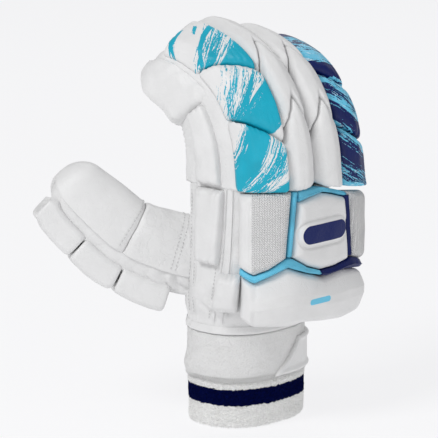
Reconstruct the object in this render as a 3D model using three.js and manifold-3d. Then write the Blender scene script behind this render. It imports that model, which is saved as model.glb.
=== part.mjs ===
// A cricket batting glove for the right hand, filled out as a hand fills it.
// +Z runs from the wrist to the fingertips, -Y is the back of the hand and -X the thumb's side.
// The origin is the middle of the cuff's lower rim. All sizes are in millimetres.
import * as THREE from "three";
import { mergeVertices } from "three/addons/utils/BufferGeometryUtils.js";
import Module from "manifold-3d";

// Walls and clearances
const clearance = 0.35;
const leather = 2;

// Cuff and strap
const cuffWide = 83;
const cuffDeep = 65;
const cuffWall = 4;
const cuffNip = 2;
const cuffTuck = 8;
const wristStay = 1;
const strapLow = 32;
const strapTall = 31;
const strapThick = 2;
const tabThick = 2;
const tabTall = 27;

// Hand
const hemHeight = 64;
const hemTall = 5.5;
const hemThick = 1.6;
const knuckleHeight = 164;
const palmWide = 97;
const palmDeep = 58;
const palmShift = -10.5;
const knuckleShift = 0.026 * palmWide;

// Fingers
const fingerPitch = palmWide / 4;
const fingerGap = 0.65;
const fingerWide = fingerPitch - fingerGap;
const fingerDeep = 54;
const fingerReach = 72;
const fingerCurl = 59;
const fingerTip = 15;
const rollInset = 0.2;
const rollWide = fingerWide - rollInset;
const rollTall = 25;
const rollGap = 1.2;
const rollBevel = 3;

// Thumb
const thumbWide = 28;
const thumbDeep = 46;
const thumbLong = 130;
const thumbTip = 16;
const thumbRollWide = 26;
const thumbRollTall = 13.5;
const hoodThick = 2.5;

// Pads on the back and the side of the hand
const backLong = 140;
const padStand = 22;
const padBevel = 4;
const trimSink = 3.5;
const trimBevel = 1;
const trimEase = 0.8;
const sidePadThick = 5;
const tipPadThick = 5;

const X = new THREE.Vector3(1, 0, 0);
const Z = new THREE.Vector3(0, 0, 1);
const point = (x, y, z) => new THREE.Vector3(x, y, z);
const mix = (a, b, share) => a + (b - a) * share;

// Smooth value of one column of a table whose rows have rising "at" shares.
function read(rows, column, at) {
  const last = rows.length - 1;
  let low = 0;
  while (low < last - 1 && rows[low + 1].at <= at) low += 1;
  const slope = (k) => {
    const before = rows[Math.max(k - 1, 0)];
    const after = rows[Math.min(k + 1, last)];
    return (after[column] - before[column]) / (after.at - before.at);
  };
  const from = rows[low];
  const to = rows[low + 1];
  const span = to.at - from.at;
  const t = (at - from.at) / span;
  if (t > 1) return to[column] + slope(low + 1) * (at - to.at);
  const a = slope(low) * span;
  const b = slope(low + 1) * span;
  const rise = to[column] - from[column];
  return from[column] + t * (a + t * (3 * rise - 2 * a - b + t * (a + b - 2 * rise)));
}

// A curved tube of superelliptic section. Each row gives its place and half sizes;
// angle 0 points across, a quarter turn on points to the back, and tip is the length of the round end.
// Sections start level and turn square to the limb within its first share "level".
function limb(rows, across, tip, level) {
  const centre = (at) => point(read(rows, "x", at), read(rows, "y", at), read(rows, "z", at));
  const frame = (at) => {
    const step = 0.01;
    const run = centre(at + step).sub(centre(Math.max(at - step, 0)));
    const upright = at < level ? 1 - at / level : 0;
    const along = run.normalize().lerp(Z, upright).normalize();
    const side = across.clone().addScaledVector(along, -across.dot(along)).normalize();
    return { along, side, back: side.clone().cross(along) };
  };
  let length = 0;
  for (let k = 1; k <= 40; k += 1) length += centre(k / 40).distanceTo(centre((k - 1) / 40));
  const halves = (at, grow) => {
    const round = tip > 0 ? Math.max(0, 1 - ((1 - at) * length) / tip) : 0;
    const cap = Math.sqrt(Math.max(0, 1 - round * round));
    return {
      wide: (read(rows, "wide", at) + grow) * cap,
      deep: (read(rows, "deep", at) + grow) * cap,
      power: 2 / read(rows, "square", at),
    };
  };
  const local = (at, sideways, backward, grow = 0) => {
    const reach = tip > 0 ? at * (1 + grow / length) : at;
    const { side, back } = frame(Math.min(at, 1));
    return centre(reach).addScaledVector(side, sideways).addScaledVector(back, backward);
  };
  const surface = (at, angle, grow = 0) => {
    const { wide, deep, power } = halves(at, grow);
    const c = Math.cos(angle);
    const s = Math.sin(angle);
    const sideways = wide * Math.sign(c) * Math.abs(c) ** power;
    return local(at, sideways, deep * Math.sign(s) * Math.abs(s) ** power, grow);
  };
  // The point of the skin, grown outward, on the ray from the middle through a local place
  const seat = (at, sideways, backward, grow) => {
    const { wide, deep, power } = halves(at, grow);
    const n = 2 / power;
    const share = (Math.abs(sideways / wide) ** n + Math.abs(backward / deep) ** n) ** (-1 / n);
    return local(at, sideways * share, backward * share, grow);
  };
  return { centre, halves, local, surface, seat, length, tip };
}

// Triangles of a grid of points, each row an array of the same length
function gridTriangles(rows, flip = false) {
  const triangles = [];
  for (let i = 0; i + 1 < rows.length; i += 1) {
    for (let j = 0; j + 1 < rows[i].length; j += 1) {
      const [a, b, c, d] = [rows[i][j], rows[i][j + 1], rows[i + 1][j + 1], rows[i + 1][j]];
      triangles.push(flip ? [a, c, b] : [a, b, c], flip ? [a, d, c] : [a, c, d]);
    }
  }
  return triangles;
}

// One closed body from its triangles, turned to face outward
function body(triangles) {
  const apart = (p, q) => p.distanceToSquared(q) > 1e-8;
  const kept = triangles.filter(([a, b, c]) => apart(a, b) && apart(b, c) && apart(a, c));
  const volume = kept.reduce((sum, [a, b, c]) => sum + a.dot(b.clone().cross(c)), 0);
  const corners = kept.flatMap(([a, b, c]) => (volume < 0 ? [a, c, b] : [a, b, c]));
  const loose = new THREE.BufferGeometry().setFromPoints(corners);
  return mergeVertices(loose, 1e-3);
}

// A closed slab between an outer grid and the seat grid under it
function slab(outer, inner) {
  const first = (rows) => rows.map((row) => row[0]);
  const final = (rows) => rows.map((row) => row.at(-1));
  return body([
    ...gridTriangles(outer),
    ...gridTriangles(inner, true),
    ...gridTriangles([outer[0], inner[0]], true),
    ...gridTriangles([outer.at(-1), inner.at(-1)]),
    ...gridTriangles([first(outer), first(inner)]),
    ...gridTriangles([final(outer), final(inner)], true),
  ]);
}

// A hollow tube between closed outer and inner rings; a tip that runs to one point closes itself
function tube(outer, inner) {
  return body([
    ...gridTriangles(outer),
    ...gridTriangles(inner, true),
    ...gridTriangles([outer[0], inner[0]], true),
    ...gridTriangles([outer.at(-1), inner.at(-1)]),
  ]);
}

const wasm = await Module();
wasm.setup();

function solidOf(geometry) {
  const vertProperties = new Float32Array(geometry.attributes.position.array);
  const triVerts = new Uint32Array(geometry.index.array);
  return new wasm.Manifold(new wasm.Mesh({ numProp: 3, vertProperties, triVerts }));
}

// A body with other bodies cut away from it
function cutAway(geometry, ...cutters) {
  const cut = cutters.reduce((rest, cutter) => rest.subtract(solidOf(cutter)), solidOf(geometry));
  const { vertProperties, triVerts } = cut.getMesh();
  const loose = new THREE.BufferGeometry();
  loose.setAttribute("position", new THREE.BufferAttribute(vertProperties, 3));
  loose.setIndex(new THREE.BufferAttribute(triVerts, 1));
  return mergeVertices(loose, 1e-3);
}

const steps = (count) => Array.from({ length: count + 1 }, (_, k) => k / count);
const ringAngles = (count) => steps(count).map((share) => share * 2 * Math.PI);

function ring(source, at, count, grow) {
  const points = ringAngles(count).map((angle) => source.surface(at, angle, grow));
  points[count] = points[0];
  return points;
}

// A grid of points from shares along two edges
const grid = (vs, us, place) => vs.map((v) => us.map((u) => place(u, v)));

// Shares from 0 to 1 with the first and last step as wide as the bevel
const bevelled = (count, edge) => [0, ...steps(count).map((share) => mix(edge, 1 - edge, share)), 1];

// Hand: level sections from the hem to the knuckles. Its walls stay upright round the cuff's end.
const handRise = knuckleHeight - hemHeight;
const cuffHalfWide = cuffWide / 2;
const cuffHalfDeep = cuffDeep / 2;
const hemGrow = clearance + leather - cuffNip;
const wristWide = (cuffHalfWide + hemGrow) / palmWide;
const wristDeep = (cuffHalfDeep + hemGrow) / palmDeep;
const handTable = [
  { at: 0, x: 0, y: 0, wide: wristWide, deep: wristDeep, square: 2.3 },
  { at: (cuffTuck + wristStay) / handRise, x: 0, y: 0, wide: wristWide, deep: wristDeep, square: 2.3 },
  { at: 0.22, x: 0, y: 0.35, wide: 0.468, deep: 0.58, square: 2.6 },
  { at: 0.5, x: 0.01, y: 0.75, wide: 0.485, deep: 0.55, square: 3.1 },
  { at: 0.78, x: 0.02, y: 0.95, wide: 0.497, deep: 0.52, square: 3.6 },
  { at: 1, x: knuckleShift / palmWide, y: 1, wide: 0.5, deep: 0.5, square: 4 },
];
const hand = limb(
  handTable.map((row) => ({
    at: row.at,
    x: row.x * palmWide,
    y: row.y * palmShift,
    z: hemHeight + row.at * handRise,
    wide: row.wide * palmWide,
    deep: row.deep * palmDeep,
    square: row.square,
  })),
  X,
  0,
  Infinity,
);
const handShare = (z) => (z - hemHeight) / handRise;

// Fingers: one curl for all, each with its own reach and its own step back at the knuckles
const curlTable = [
  { at: 0, forward: 0, up: 0, wide: 0.5, deep: 0.5, square: 3.4 },
  { at: 0.3, forward: 0.05, up: 0.4, wide: 0.5, deep: 0.475, square: 3.2 },
  { at: 0.52, forward: 0.22, up: 0.69, wide: 0.495, deep: 0.44, square: 3 },
  { at: 0.76, forward: 0.56, up: 0.89, wide: 0.485, deep: 0.37, square: 2.8 },
  { at: 1, forward: 1, up: 1, wide: 0.46, deep: 0.29, square: 2.6 },
];
const fingers = [
  { name: "index", place: -1.5, rise: 1, back: -0.0185 },
  { name: "middle", place: -0.5, rise: 1, back: 0.037 },
  { name: "ring", place: 0.5, rise: 0.9, back: 0.083 },
  { name: "little", place: 1.5, rise: 0.77, back: 0.065 },
];
const fingerFloor = knuckleHeight + clearance;
for (const finger of fingers) {
  finger.limb = limb(
    curlTable.map((row) => ({
      at: row.at,
      x: knuckleShift + finger.place * fingerPitch,
      y: palmShift - finger.back * fingerDeep + row.forward * fingerCurl * finger.rise,
      z: fingerFloor + row.up * fingerReach * finger.rise,
      wide: row.wide * fingerWide,
      deep: row.deep * fingerDeep,
      square: row.square,
    })),
    X,
    fingerTip,
    0.15,
  );
}

// Stations along a limb, closer together towards its round tip
function stations(source, tip, straight, curved) {
  const bend = 1 - tip / source.length;
  const turn = steps(curved).slice(1).map((share) => mix(bend, 1, Math.sin((share * Math.PI) / 2)));
  return [...steps(straight).map((share) => share * bend), ...turn];
}

function stall(source, ats, count) {
  return tube(
    ats.map((at) => ring(source, at, count, 0)),
    ats.map((at) => ring(source, at, count, -leather)),
  );
}

// Rolls: padded segments across the back of a finger or the thumb. Profile rows give the place
// across, as a share of the half width, and the height, as a share of the roll's own height.
const chamfered = [
  { across: -0.92, up: -0.12 },
  { across: -0.88, up: 0.1 },
  { across: -0.6, up: 0.4 },
  { across: 0.2, up: 0.76 },
  { across: 0.8, up: 0.98 },
  { across: 1, up: 0.88 },
  { across: 1, up: -0.06 },
];
const ridged = [
  { across: -1, up: -0.06 },
  { across: -1, up: 0.66 },
  { across: -0.6, up: 0.94 },
  { across: 0, up: 1.04 },
  { across: 0.6, up: 0.94 },
  { across: 1, up: 0.66 },
  { across: 1, up: -0.06 },
];
const rounded = [
  { across: -1, up: -0.06 },
  { across: -1, up: 0.8 },
  { across: -0.7, up: 0.95 },
  { across: 0.1, up: 0.98 },
  { across: 0.75, up: 0.86 },
  { across: 1, up: 0.64 },
  { across: 1, up: -0.1 },
];
const boxed = [
  { across: -1, up: -0.1 },
  { across: -1, up: 0.78 },
  { across: -0.8, up: 1 },
  { across: 0.8, up: 1 },
  { across: 1, up: 0.78 },
  { across: 1, up: -0.1 },
];
const fingerThins = [
  { at: 0, up: 1 },
  { at: 0.4, up: 0.96 },
  { at: 0.65, up: 0.88 },
  { at: 0.85, up: 0.7 },
  { at: 1, up: 0.45 },
];
const thumbThins = [
  { at: 0, up: 1 },
  { at: 1, up: 0.96 },
];
// Stations where the segments meet, how far a cut rises to a point in the middle, its slant,
// and the slant of the roll's foot at the knuckles
const rolls = {
  index: { profile: chamfered, at: [0.01, 0.318, 0.578, 0.89], rise: 0, slant: -0.07, foot: 0 },
  middle: { profile: ridged, at: [0.02, 0.28, 0.5, 0.95], rise: 0.14, slant: 0, foot: 0.01 },
  ring: { profile: ridged, at: [-0.01, 0.28, 0.5, 0.95], rise: 0.14, slant: 0, foot: -0.05 },
  little: { profile: rounded, at: [-0.1, 0.27, 0.5, 0.95], rise: 0, slant: -0.05, foot: -0.03 },
  thumb: { profile: boxed, at: [0.27, 0.5, 0.71, 0.97], rise: 0, slant: 0, foot: 0 },
};
const tipSeat = 0.93;

function roll(source, plan, part, wide, tall, thins) {
  const { profile, at: cuts, rise, slant, foot } = plan;
  const half = rollGap / source.length / 2;
  const from = cuts[part] + (part > 0 ? half : 0);
  const to = cuts[part + 1] - (part < 2 ? half : 0);
  const vs = bevelled(3, rollBevel / source.length / (to - from));
  const us = profile.map((_, k) => k);
  const shape = (u, v) => {
    const { across, up } = profile[u];
    const bent = rise * (1 - Math.abs(across)) + slant * across;
    const shift = (part > 0 ? bent : foot * across) * (1 - v) + (part < 2 ? bent * v : 0);
    const at = mix(from, to, v) + shift;
    const base = source.halves(Math.min(at, tipSeat), 0).deep;
    const inset = v === 0 || v === 1 ? rollBevel : 0;
    const height = up > 0 ? up * (read(thins, "up", at) * tall - inset) : up * tall;
    return { at, side: (across * wide) / 2, back: base + height };
  };
  const outer = grid(vs, us, (u, v) => {
    const { at, side, back } = shape(u, v);
    return source.local(at, side, back);
  });
  const inner = grid(vs, us, (u, v) => {
    const { at, side, back } = shape(u, v);
    return source.seat(Math.min(at, tipSeat), side, back, -leather / 2);
  });
  return slab(outer, inner);
}

// The solid that a limb fills, grown outward, with the same facets as its wall
function core(source, ats, count, grow) {
  const rings = ats.map((at) => ring(source, at, count, grow));
  const close = (at) => Array(count + 1).fill(source.local(at, 0, 0, at === 1 ? grow : 0));
  return body(gridTriangles([close(ats[0]), ...rings, close(ats.at(-1))]));
}

// A cover that wraps part of a limb between two stations and two angles, the second one
// given at the lower and at the upper station
function cover(source, from, to, low, [highFrom, highTo], thick, columns) {
  const edge = Math.min(padBevel / 2 / source.length / (to - from), 0.1);
  const bend = (1 - source.tip / source.length - from) / (to - from);
  const turn = steps(4).map((share) => mix(bend, 1, Math.sin((share * Math.PI) / 2)));
  const vs = to === 1 ? [0, edge, bend * 0.35, bend * 0.7, ...turn] : bevelled(4, edge);
  const us = bevelled(columns, 0.06);
  const rim = (share) => share === 0 || share === 1;
  const place = (grow) => (u, v) => {
    const thin = rim(u) || (rim(v) && !(to === 1 && v === 1)) ? 0.4 : 1;
    const angle = mix(low, mix(highFrom, highTo, v), u);
    return source.surface(mix(from, to, v), angle, grow > 0 ? grow * thin : grow);
  };
  return slab(grid(vs, us, place(clearance + thick)), grid(vs, us, place(-leather / 2)));
}

// Plan of the padded back, as a curve from the thumb's side to the little finger's side.
// "x" is a share of the palm's width and "out" a share of the pads' stand from the back of the hand.
const backPlan = [
  { at: 0, x: -0.479, out: -0.32 },
  { at: 0.11, x: -0.46, out: 0.28 },
  { at: 0.307, x: -0.227, out: 0.98 },
  { at: 0.514, x: 0.07, out: 1.12 },
  { at: 0.7, x: 0.34, out: 1.08 },
  { at: 0.84, x: 0.536, out: 0.84 },
  { at: 1, x: 0.577, out: -0.1 },
];
const backFace = palmShift - palmDeep / 2;
const alongBack = (length) => length / backLong;
const upHand = (length) => length / handRise;

// A pad on the back of the hand. Left and right give the stations of its side edges, low end first;
// rows give its lower and upper edge as shares of the hand's rise.
function backPad({ left, right, rows }, sink, bevel) {
  const long = (right[0] - left[0]) * backLong;
  const us = rowLines(rows, bevel / long);
  const vs = bevelled(bevel < padBevel ? 1 : 3, bevel / (narrowest(rows) * handRise));
  const rim = (share) => share === 0 || share === 1;
  const shape = (u, v) => {
    const at = mix(mix(left[0], left[1], v), mix(right[0], right[1], v), u);
    const up = mix(straight(rows, "low", u), straight(rows, "high", u), v);
    const middle = hand.centre(up);
    const side = read(backPlan, "x", at) * palmWide - middle.x;
    const back = middle.y - (backFace - read(backPlan, "out", at) * padStand);
    const reach = Math.hypot(side, back);
    const share = 1 - (sink + (rim(u) || rim(v) ? bevel : 0)) / reach;
    return { up, side: side * share, back: back * share };
  };
  const outer = grid(vs, us, (u, v) => {
    const { up, side, back } = shape(u, v);
    return hand.local(up, side, back);
  });
  const inner = grid(vs, us, (u, v) => {
    const { up, side, back } = shape(u, v);
    return hand.seat(up, side, back, -leather / 2);
  });
  return slab(outer, inner);
}

// Straight-line value of a column between the rows of a table
function straight(rows, column, share) {
  let low = 0;
  while (low < rows.length - 2 && rows[low + 1].at <= share) low += 1;
  const [from, to] = [rows[low], rows[low + 1]];
  return mix(from[column], to[column], (share - from.at) / (to.at - from.at));
}

// Grid lines at every row of a table and one bevel in from both ends
function rowLines(rows, edge) {
  const inner = rows.map((row) => row.at).filter((at) => at > edge && at < 1 - edge);
  return [0, edge, ...inner, 1 - edge, 1];
}
const narrowest = (rows) => Math.min(...rows.map((row) => row.high - row.low));

// Highest share of the hand that a pad reaches, just under the finger stalls
const rimUp = 0.995;
const lapUp = upHand(trimEase);
const lapAlong = alongBack(trimEase);
const blockIndex = {
  left: [0.02, 0.02],
  right: [0.282, 0.312],
  rows: [
    { at: 0, low: 0.47, high: rimUp - 0.01 },
    { at: 0.33, low: 0.47, high: rimUp },
    { at: 0.67, low: 0.5, high: rimUp },
    { at: 1, low: 0.56, high: rimUp },
  ],
};
const padCentre = {
  left: [0.318, 0.352],
  right: [0.706, 0.676],
  rows: [
    { at: 0, low: 0.56, high: 0.92 },
    { at: 0.25, low: 0.485, high: 0.94 },
    { at: 0.5, low: 0.44, high: 0.955 },
    { at: 0.75, low: 0.445, high: 0.93 },
    { at: 1, low: 0.465, high: 0.895 },
  ],
};
const blockLittle = {
  left: [0.738, 0.715],
  right: [0.95, 0.95],
  rows: [
    { at: 0, low: 0.48, high: 0.925 },
    { at: 0.5, low: 0.43, high: 0.9 },
    { at: 1, low: 0.42, high: 0.86 },
  ],
};
const barWrist = {
  left: [0.03, 0.03],
  right: [0.93, 0.93],
  rows: [
    { at: 0, low: 0.15, high: 0.41 },
    { at: 0.13, low: 0.1, high: 0.42 },
    { at: 0.29, low: 0.09, high: 0.49 },
    { at: 0.43, low: 0.1, high: 0.43 },
    { at: 0.57, low: 0.08, high: 0.385 },
    { at: 0.73, low: 0.065, high: 0.4 },
    { at: 0.86, low: 0.08, high: 0.375 },
    { at: 1, low: 0.16, high: 0.35 },
  ],
};

// Folded trim fills the grooves between the pads and takes its edges from theirs
function edgeOf(pad, column, at) {
  const share = (at - pad.left[0]) / (pad.right[0] - pad.left[0]);
  return straight(pad.rows, column, clamp(share));
}
const clamp = (value) => Math.min(Math.max(value, 0), 1);
function trimUnder(from, to, before, after) {
  const corners = [barWrist, before, after].flatMap(({ left, right, rows }) =>
    rows.map((row) => mix(left[0], right[0], row.at)));
  const inside = corners.filter((at) => at > from + lapAlong && at < to - lapAlong);
  const rows = [from, ...inside.sort((a, b) => a - b), to].map((at) => {
    const between = clamp((at - before.right[0]) / (after.left[0] - before.right[0]));
    const high = mix(edgeOf(before, "low", at), edgeOf(after, "low", at), between);
    return {
      at: (at - from) / (to - from),
      low: edgeOf(barWrist, "high", at) + lapUp,
      high: high - lapUp,
    };
  });
  return { left: [from, from], right: [to, to], rows };
}
function trimBetween(before, after, low, high) {
  const shifted = (ends, shift) => ends.map((station) => station + shift);
  return {
    left: shifted(before.right, lapAlong),
    right: shifted(after.left, -lapAlong),
    rows: [{ at: 0, low, high }, { at: 1, low, high }],
  };
}
const trimMeet = 0.5;
const trimSkyLow = trimUnder(barWrist.left[0], trimMeet, blockIndex, padCentre);
const trimNavyLow = trimUnder(trimMeet + lapAlong, barWrist.right[0], padCentre, blockLittle);
const navyTop = 0.9;
const trimSkySide = trimBetween(blockIndex, padCentre, blockIndex.rows.at(-1).low + lapUp, rimUp);
const trimNavySide = trimBetween(padCentre, blockLittle, blockLittle.rows[0].low + lapUp, navyTop);
const skyTops = [
  { at: 0, high: rimUp },
  { at: 0.5, high: rimUp },
  { at: 0.75, high: 0.965 },
  { at: 1, high: 0.93 },
];
const trimSkyTop = {
  left: [padCentre.left[1], padCentre.left[1]],
  right: [padCentre.right[1], padCentre.right[1]],
  rows: padCentre.rows.map(({ at, high }) => (
    { at, low: high + lapUp, high: straight(skyTops, "high", at) })),
};

const leatherWhite = new THREE.MeshStandardMaterial({ color: 0xeceef0, roughness: 0.55, metalness: 0 });
const printTeal = new THREE.MeshStandardMaterial({ color: 0x19a9cf, roughness: 0.5, metalness: 0 });
const printSky = new THREE.MeshStandardMaterial({ color: 0x5fc4ea, roughness: 0.5, metalness: 0 });
const trimSky = new THREE.MeshStandardMaterial({ color: 0x63c7ec, roughness: 0.45, metalness: 0 });
const trimNavy = new THREE.MeshStandardMaterial({ color: 0x1c2c66, roughness: 0.45, metalness: 0 });
const towel = new THREE.MeshStandardMaterial({ color: 0xf2f2f0, roughness: 0.95, metalness: 0 });
const fuzzy = new THREE.MeshStandardMaterial({ color: 0xeeeeee, roughness: 0.9, metalness: 0 });

const glove = new THREE.Group();
function add(name, geometry, material) {
  const mesh = new THREE.Mesh(geometry, material);
  mesh.name = name;
  mesh.geometry.computeVertexNormals();
  glove.add(mesh);
}

const degrees = (angle) => (angle * Math.PI) / 180;

// Hand and thumb open into each other
const handCount = 24;
const thumbCount = 14;
const fingerCount = 12;
const handAts = [0, upHand(hemTall), upHand(cuffTuck + wristStay), 0.22, 0.36, 0.52, 0.68, 0.84, 1];
const handFilled = core(hand, handAts, handCount, clearance);
const thumbPath = [
  { at: 0, out: 0, forward: 0, up: 0, wide: 0.44, deep: 0.42, square: 2.3 },
  { at: 0.22, out: -0.187, forward: 0.18, up: 0.066, wide: 0.5, deep: 0.54, square: 2.4 },
  { at: 0.53, out: -0.4, forward: 0.37, up: 0.176, wide: 0.5, deep: 0.5, square: 2.5 },
  { at: 0.77, out: -0.524, forward: 0.494, up: 0.324, wide: 0.48, deep: 0.46, square: 2.5 },
  { at: 1, out: -0.645, forward: 0.616, up: 0.494, wide: 0.44, deep: 0.39, square: 2.5 },
];
const thumbSeat = { across: -0.1, forward: 0.19, up: 0.37 };
const thumbRoot = point(
  thumbSeat.across * palmWide,
  palmShift + thumbSeat.forward * palmDeep,
  hemHeight + thumbSeat.up * handRise,
);
const thumbFront = point(-0.628, -0.755, 0.129);
const thumb = limb(
  thumbPath.map((row) => ({
    at: row.at,
    x: thumbRoot.x + row.out * thumbLong,
    y: thumbRoot.y + row.forward * thumbLong,
    z: thumbRoot.z + row.up * thumbLong,
    wide: row.wide * thumbWide,
    deep: row.deep * thumbDeep,
    square: row.square,
  })),
  thumbFront,
  thumbTip,
  0,
);
const thumbAts = stations(thumb, thumbTip, 6, 3);
const thumbFilled = core(thumb, thumbAts, thumbCount, clearance);
const thumbHollow = core(thumb, thumbAts, thumbCount, -leather);
const wall = (source, ats, count, low, high) =>
  tube(ats.map((at) => ring(source, at, count, high)), ats.map((at) => ring(source, at, count, low)));
add("hand_shell", cutAway(wall(hand, handAts, handCount, -leather, 0), thumbHollow), leatherWhite);
add("thumb_stall", cutAway(stall(thumb, thumbAts, thumbCount), handFilled), leatherWhite);

// Leather over the thumb: a hood over its end and a creased base at the palm, with a seam between
const coverLow = degrees(-218);
const coverHigh = [degrees(38), degrees(38)];
const seam = 0.535;
const baseFrom = 0.16;
const hood = cover(thumb, seam, 1, coverLow, coverHigh, hoodThick, 7);
add("thumb_hood", cutAway(hood, thumbFilled), leatherWhite);
const baseTo = seam - clearance / thumb.length;
const thumbBase = cover(thumb, baseFrom, baseTo, coverLow, coverHigh, hoodThick, 7);
add("thumb_base", cutAway(thumbBase, thumbFilled, handFilled), leatherWhite);
for (const part of [0, 1, 2]) {
  const geometry = roll(thumb, rolls.thumb, part, thumbRollWide, thumbRollTall, thumbThins);
  add(`roll_thumb_${part + 1}`, cutAway(geometry, thumbFilled, handFilled), leatherWhite);
}

// Fingers and their rolls
for (const finger of fingers) {
  const { name, limb: source } = finger;
  const ats = stations(source, fingerTip, 5, 3);
  finger.filled = core(source, ats, fingerCount, clearance);
  add(`stall_${name}`, stall(source, ats, fingerCount), leatherWhite);
  const material = { index: printTeal, little: printSky }[name] ?? leatherWhite;
  for (const part of [0, 1, 2]) {
    const geometry = roll(source, rolls[name], part, rollWide, rollTall, fingerThins);
    add(`roll_${name}_${part + 1}`, cutAway(geometry, finger.filled, handFilled), material);
  }
}

// Pads down the thumb's side of the forefinger and the hand
const forefinger = fingers[0];
const sidePads = [
  { name: "side_tip", on: "finger", from: 0.52, to: 1, low: 150, high: 240, thick: tipPadThick },
  { name: "side_finger", on: "finger", from: 0.02, to: 0.5, low: 160, high: 206, thick: sidePadThick },
  { name: "side_hand", on: "hand", from: 0.49, to: rimUp, low: 163, high: 192, thick: sidePadThick },
  { name: "side_wrist", on: "hand", from: 0.235, to: 0.44, low: 150, high: 176, thick: sidePadThick },
];
for (const { name, on, from, to, low, high, thick } of sidePads) {
  const [source, filled] = on === "hand" ? [hand, handFilled] : [forefinger.limb, forefinger.filled];
  const pad = cover(source, from, to, degrees(low), [degrees(high), degrees(high)], thick, 3);
  add(name, cutAway(pad, filled), leatherWhite);
}

// Padded back with its trim
const onBack = (name, plan, sink, bevel, material) =>
  add(name, cutAway(backPad(plan, sink, bevel), handFilled), material);
onBack("block_index", blockIndex, 0, padBevel, leatherWhite);
onBack("pad_centre", padCentre, 0, padBevel, leatherWhite);
onBack("block_little", blockLittle, 0, padBevel, leatherWhite);
onBack("bar_wrist", barWrist, 0, padBevel, leatherWhite);
onBack("trim_sky_side", trimSkySide, trimSink, trimBevel, trimSky);
onBack("trim_sky_top", trimSkyTop, trimSink, trimBevel, trimSky);
onBack("trim_sky_low", trimSkyLow, trimSink, trimBevel, trimSky);
onBack("trim_navy_side", trimNavySide, trimSink, trimBevel, trimNavy);
onBack("trim_navy_low", trimNavyLow, trimSink, trimBevel, trimNavy);

// Hem, cuff and wrist strap. The strap nips the cuff in where it goes round it.
const hem = wall(hand, handAts.slice(0, 2), handCount, clearance, clearance + hemThick);
add("hem_band", hem, leatherWhite);
const band = (rows) => limb(
  rows.map(({ up, grow }) => ({
    at: (up - rows[0].up) / (rows.at(-1).up - rows[0].up),
    x: 0,
    y: 0,
    z: up,
    wide: cuffHalfWide + grow,
    deep: cuffHalfDeep + grow,
    square: 2.3,
  })),
  X,
  0,
  Infinity,
);
const cuffTop = hemHeight + cuffTuck;
const cuffRows = [
  { up: 0, grow: 0 },
  { up: strapLow - 1.5 * cuffNip, grow: 0 },
  { up: strapLow - clearance, grow: -cuffNip },
  { up: cuffTop, grow: -cuffNip - clearance },
];
const cuffAts = cuffRows.map(({ up }) => up / cuffTop);
add("cuff", wall(band(cuffRows), cuffAts, handCount, -cuffWall, 0), towel);
const strapGrow = clearance + strapThick - cuffNip;
const strap = band([
  { up: strapLow, grow: strapGrow },
  { up: strapLow + strapTall, grow: strapGrow },
]);
add("strap", wall(strap, [0, 1], handCount, -strapThick, 0), fuzzy);
const tabFrom = (strapTall - tabTall) / 2 / strapTall;
const tabStart = degrees(5);
const tabEnds = [degrees(99), degrees(70)];
const tab = cover(strap, tabFrom, 1 - tabFrom, tabStart, tabEnds, tabThick, 6);
add("strap_tab", cutAway(tab, core(strap, [0, 1], handCount, clearance)), fuzzy);

export default glove;
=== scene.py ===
"""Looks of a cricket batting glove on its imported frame: padded rolls and blocks, creased leather,
folded trim, a brushed wrist strap and a towelling cuff. Lengths are millimetres until a mesh is made."""

import math
from functools import partial, partialmethod

import bmesh
import bpy
import numpy as np
from bpy.props import FloatProperty, FloatVectorProperty, PointerProperty
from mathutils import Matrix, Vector


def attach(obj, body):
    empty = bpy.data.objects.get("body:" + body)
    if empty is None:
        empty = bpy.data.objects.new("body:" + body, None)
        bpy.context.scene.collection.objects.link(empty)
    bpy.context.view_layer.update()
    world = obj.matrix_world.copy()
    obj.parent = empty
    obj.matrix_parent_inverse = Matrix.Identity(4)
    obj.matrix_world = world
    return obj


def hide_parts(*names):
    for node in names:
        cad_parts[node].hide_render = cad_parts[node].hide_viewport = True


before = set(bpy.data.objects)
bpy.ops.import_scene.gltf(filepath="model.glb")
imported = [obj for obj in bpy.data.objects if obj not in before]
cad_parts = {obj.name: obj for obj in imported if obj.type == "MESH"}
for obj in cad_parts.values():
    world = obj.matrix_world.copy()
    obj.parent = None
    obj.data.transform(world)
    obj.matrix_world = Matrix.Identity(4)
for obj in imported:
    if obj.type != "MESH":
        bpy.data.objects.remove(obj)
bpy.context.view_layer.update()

bl_info = {
    "name": "Batting Glove Looks",
    "version": (1, 0, 0),
    "blender": (4, 5, 0),
    "location": "3D View > Sidebar > Glove",
    "description": "Builds the padded leather, trim, strap and towelling of a batting glove",
    "category": "Add Mesh",
}

# Sizes of the frame, in millimetres
CLEARANCE, LEATHER = 0.35, 2.0
CUFF_WIDE, CUFF_DEEP, CUFF_WALL, CUFF_NIP, CUFF_TUCK = 83.0, 65.0, 4.0, 2.0, 8.0
STRAP_LOW, STRAP_TALL, STRAP_THICK, TAB_THICK, TAB_TALL, TAB_LIFT = 32.0, 31.0, 2.0, 2.0, 23.0, 1.0
HEM_HEIGHT, HEM_TALL, HEM_THICK, KNUCKLES = 64.0, 5.5, 1.6, 164.0
PALM_WIDE, PALM_DEEP, PALM_SHIFT = 97.0, 58.0, -10.5
FINGER_PITCH = PALM_WIDE / 4
FINGER_WIDE = FINGER_PITCH - 0.65
FINGER_DEEP, FINGER_REACH, FINGER_CURL, FINGER_TIP = 54.0, 72.0, 59.0, 15.0
ROLL_WIDE = FINGER_WIDE - 0.2
ROLL_TALL, ROLL_GAP = 25.0, 1.2
THUMB_WIDE, THUMB_DEEP, THUMB_LONG, THUMB_TIP = 28.0, 46.0, 130.0, 16.0
THUMB_ROLL_WIDE, THUMB_ROLL_TALL, HOOD_THICK = 26.0, 13.5, 2.5
BACK_LONG, PAD_STAND, TRIM_SINK, TRIM_EASE = 140.0, 22.0, 3.5, 0.8
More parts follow.
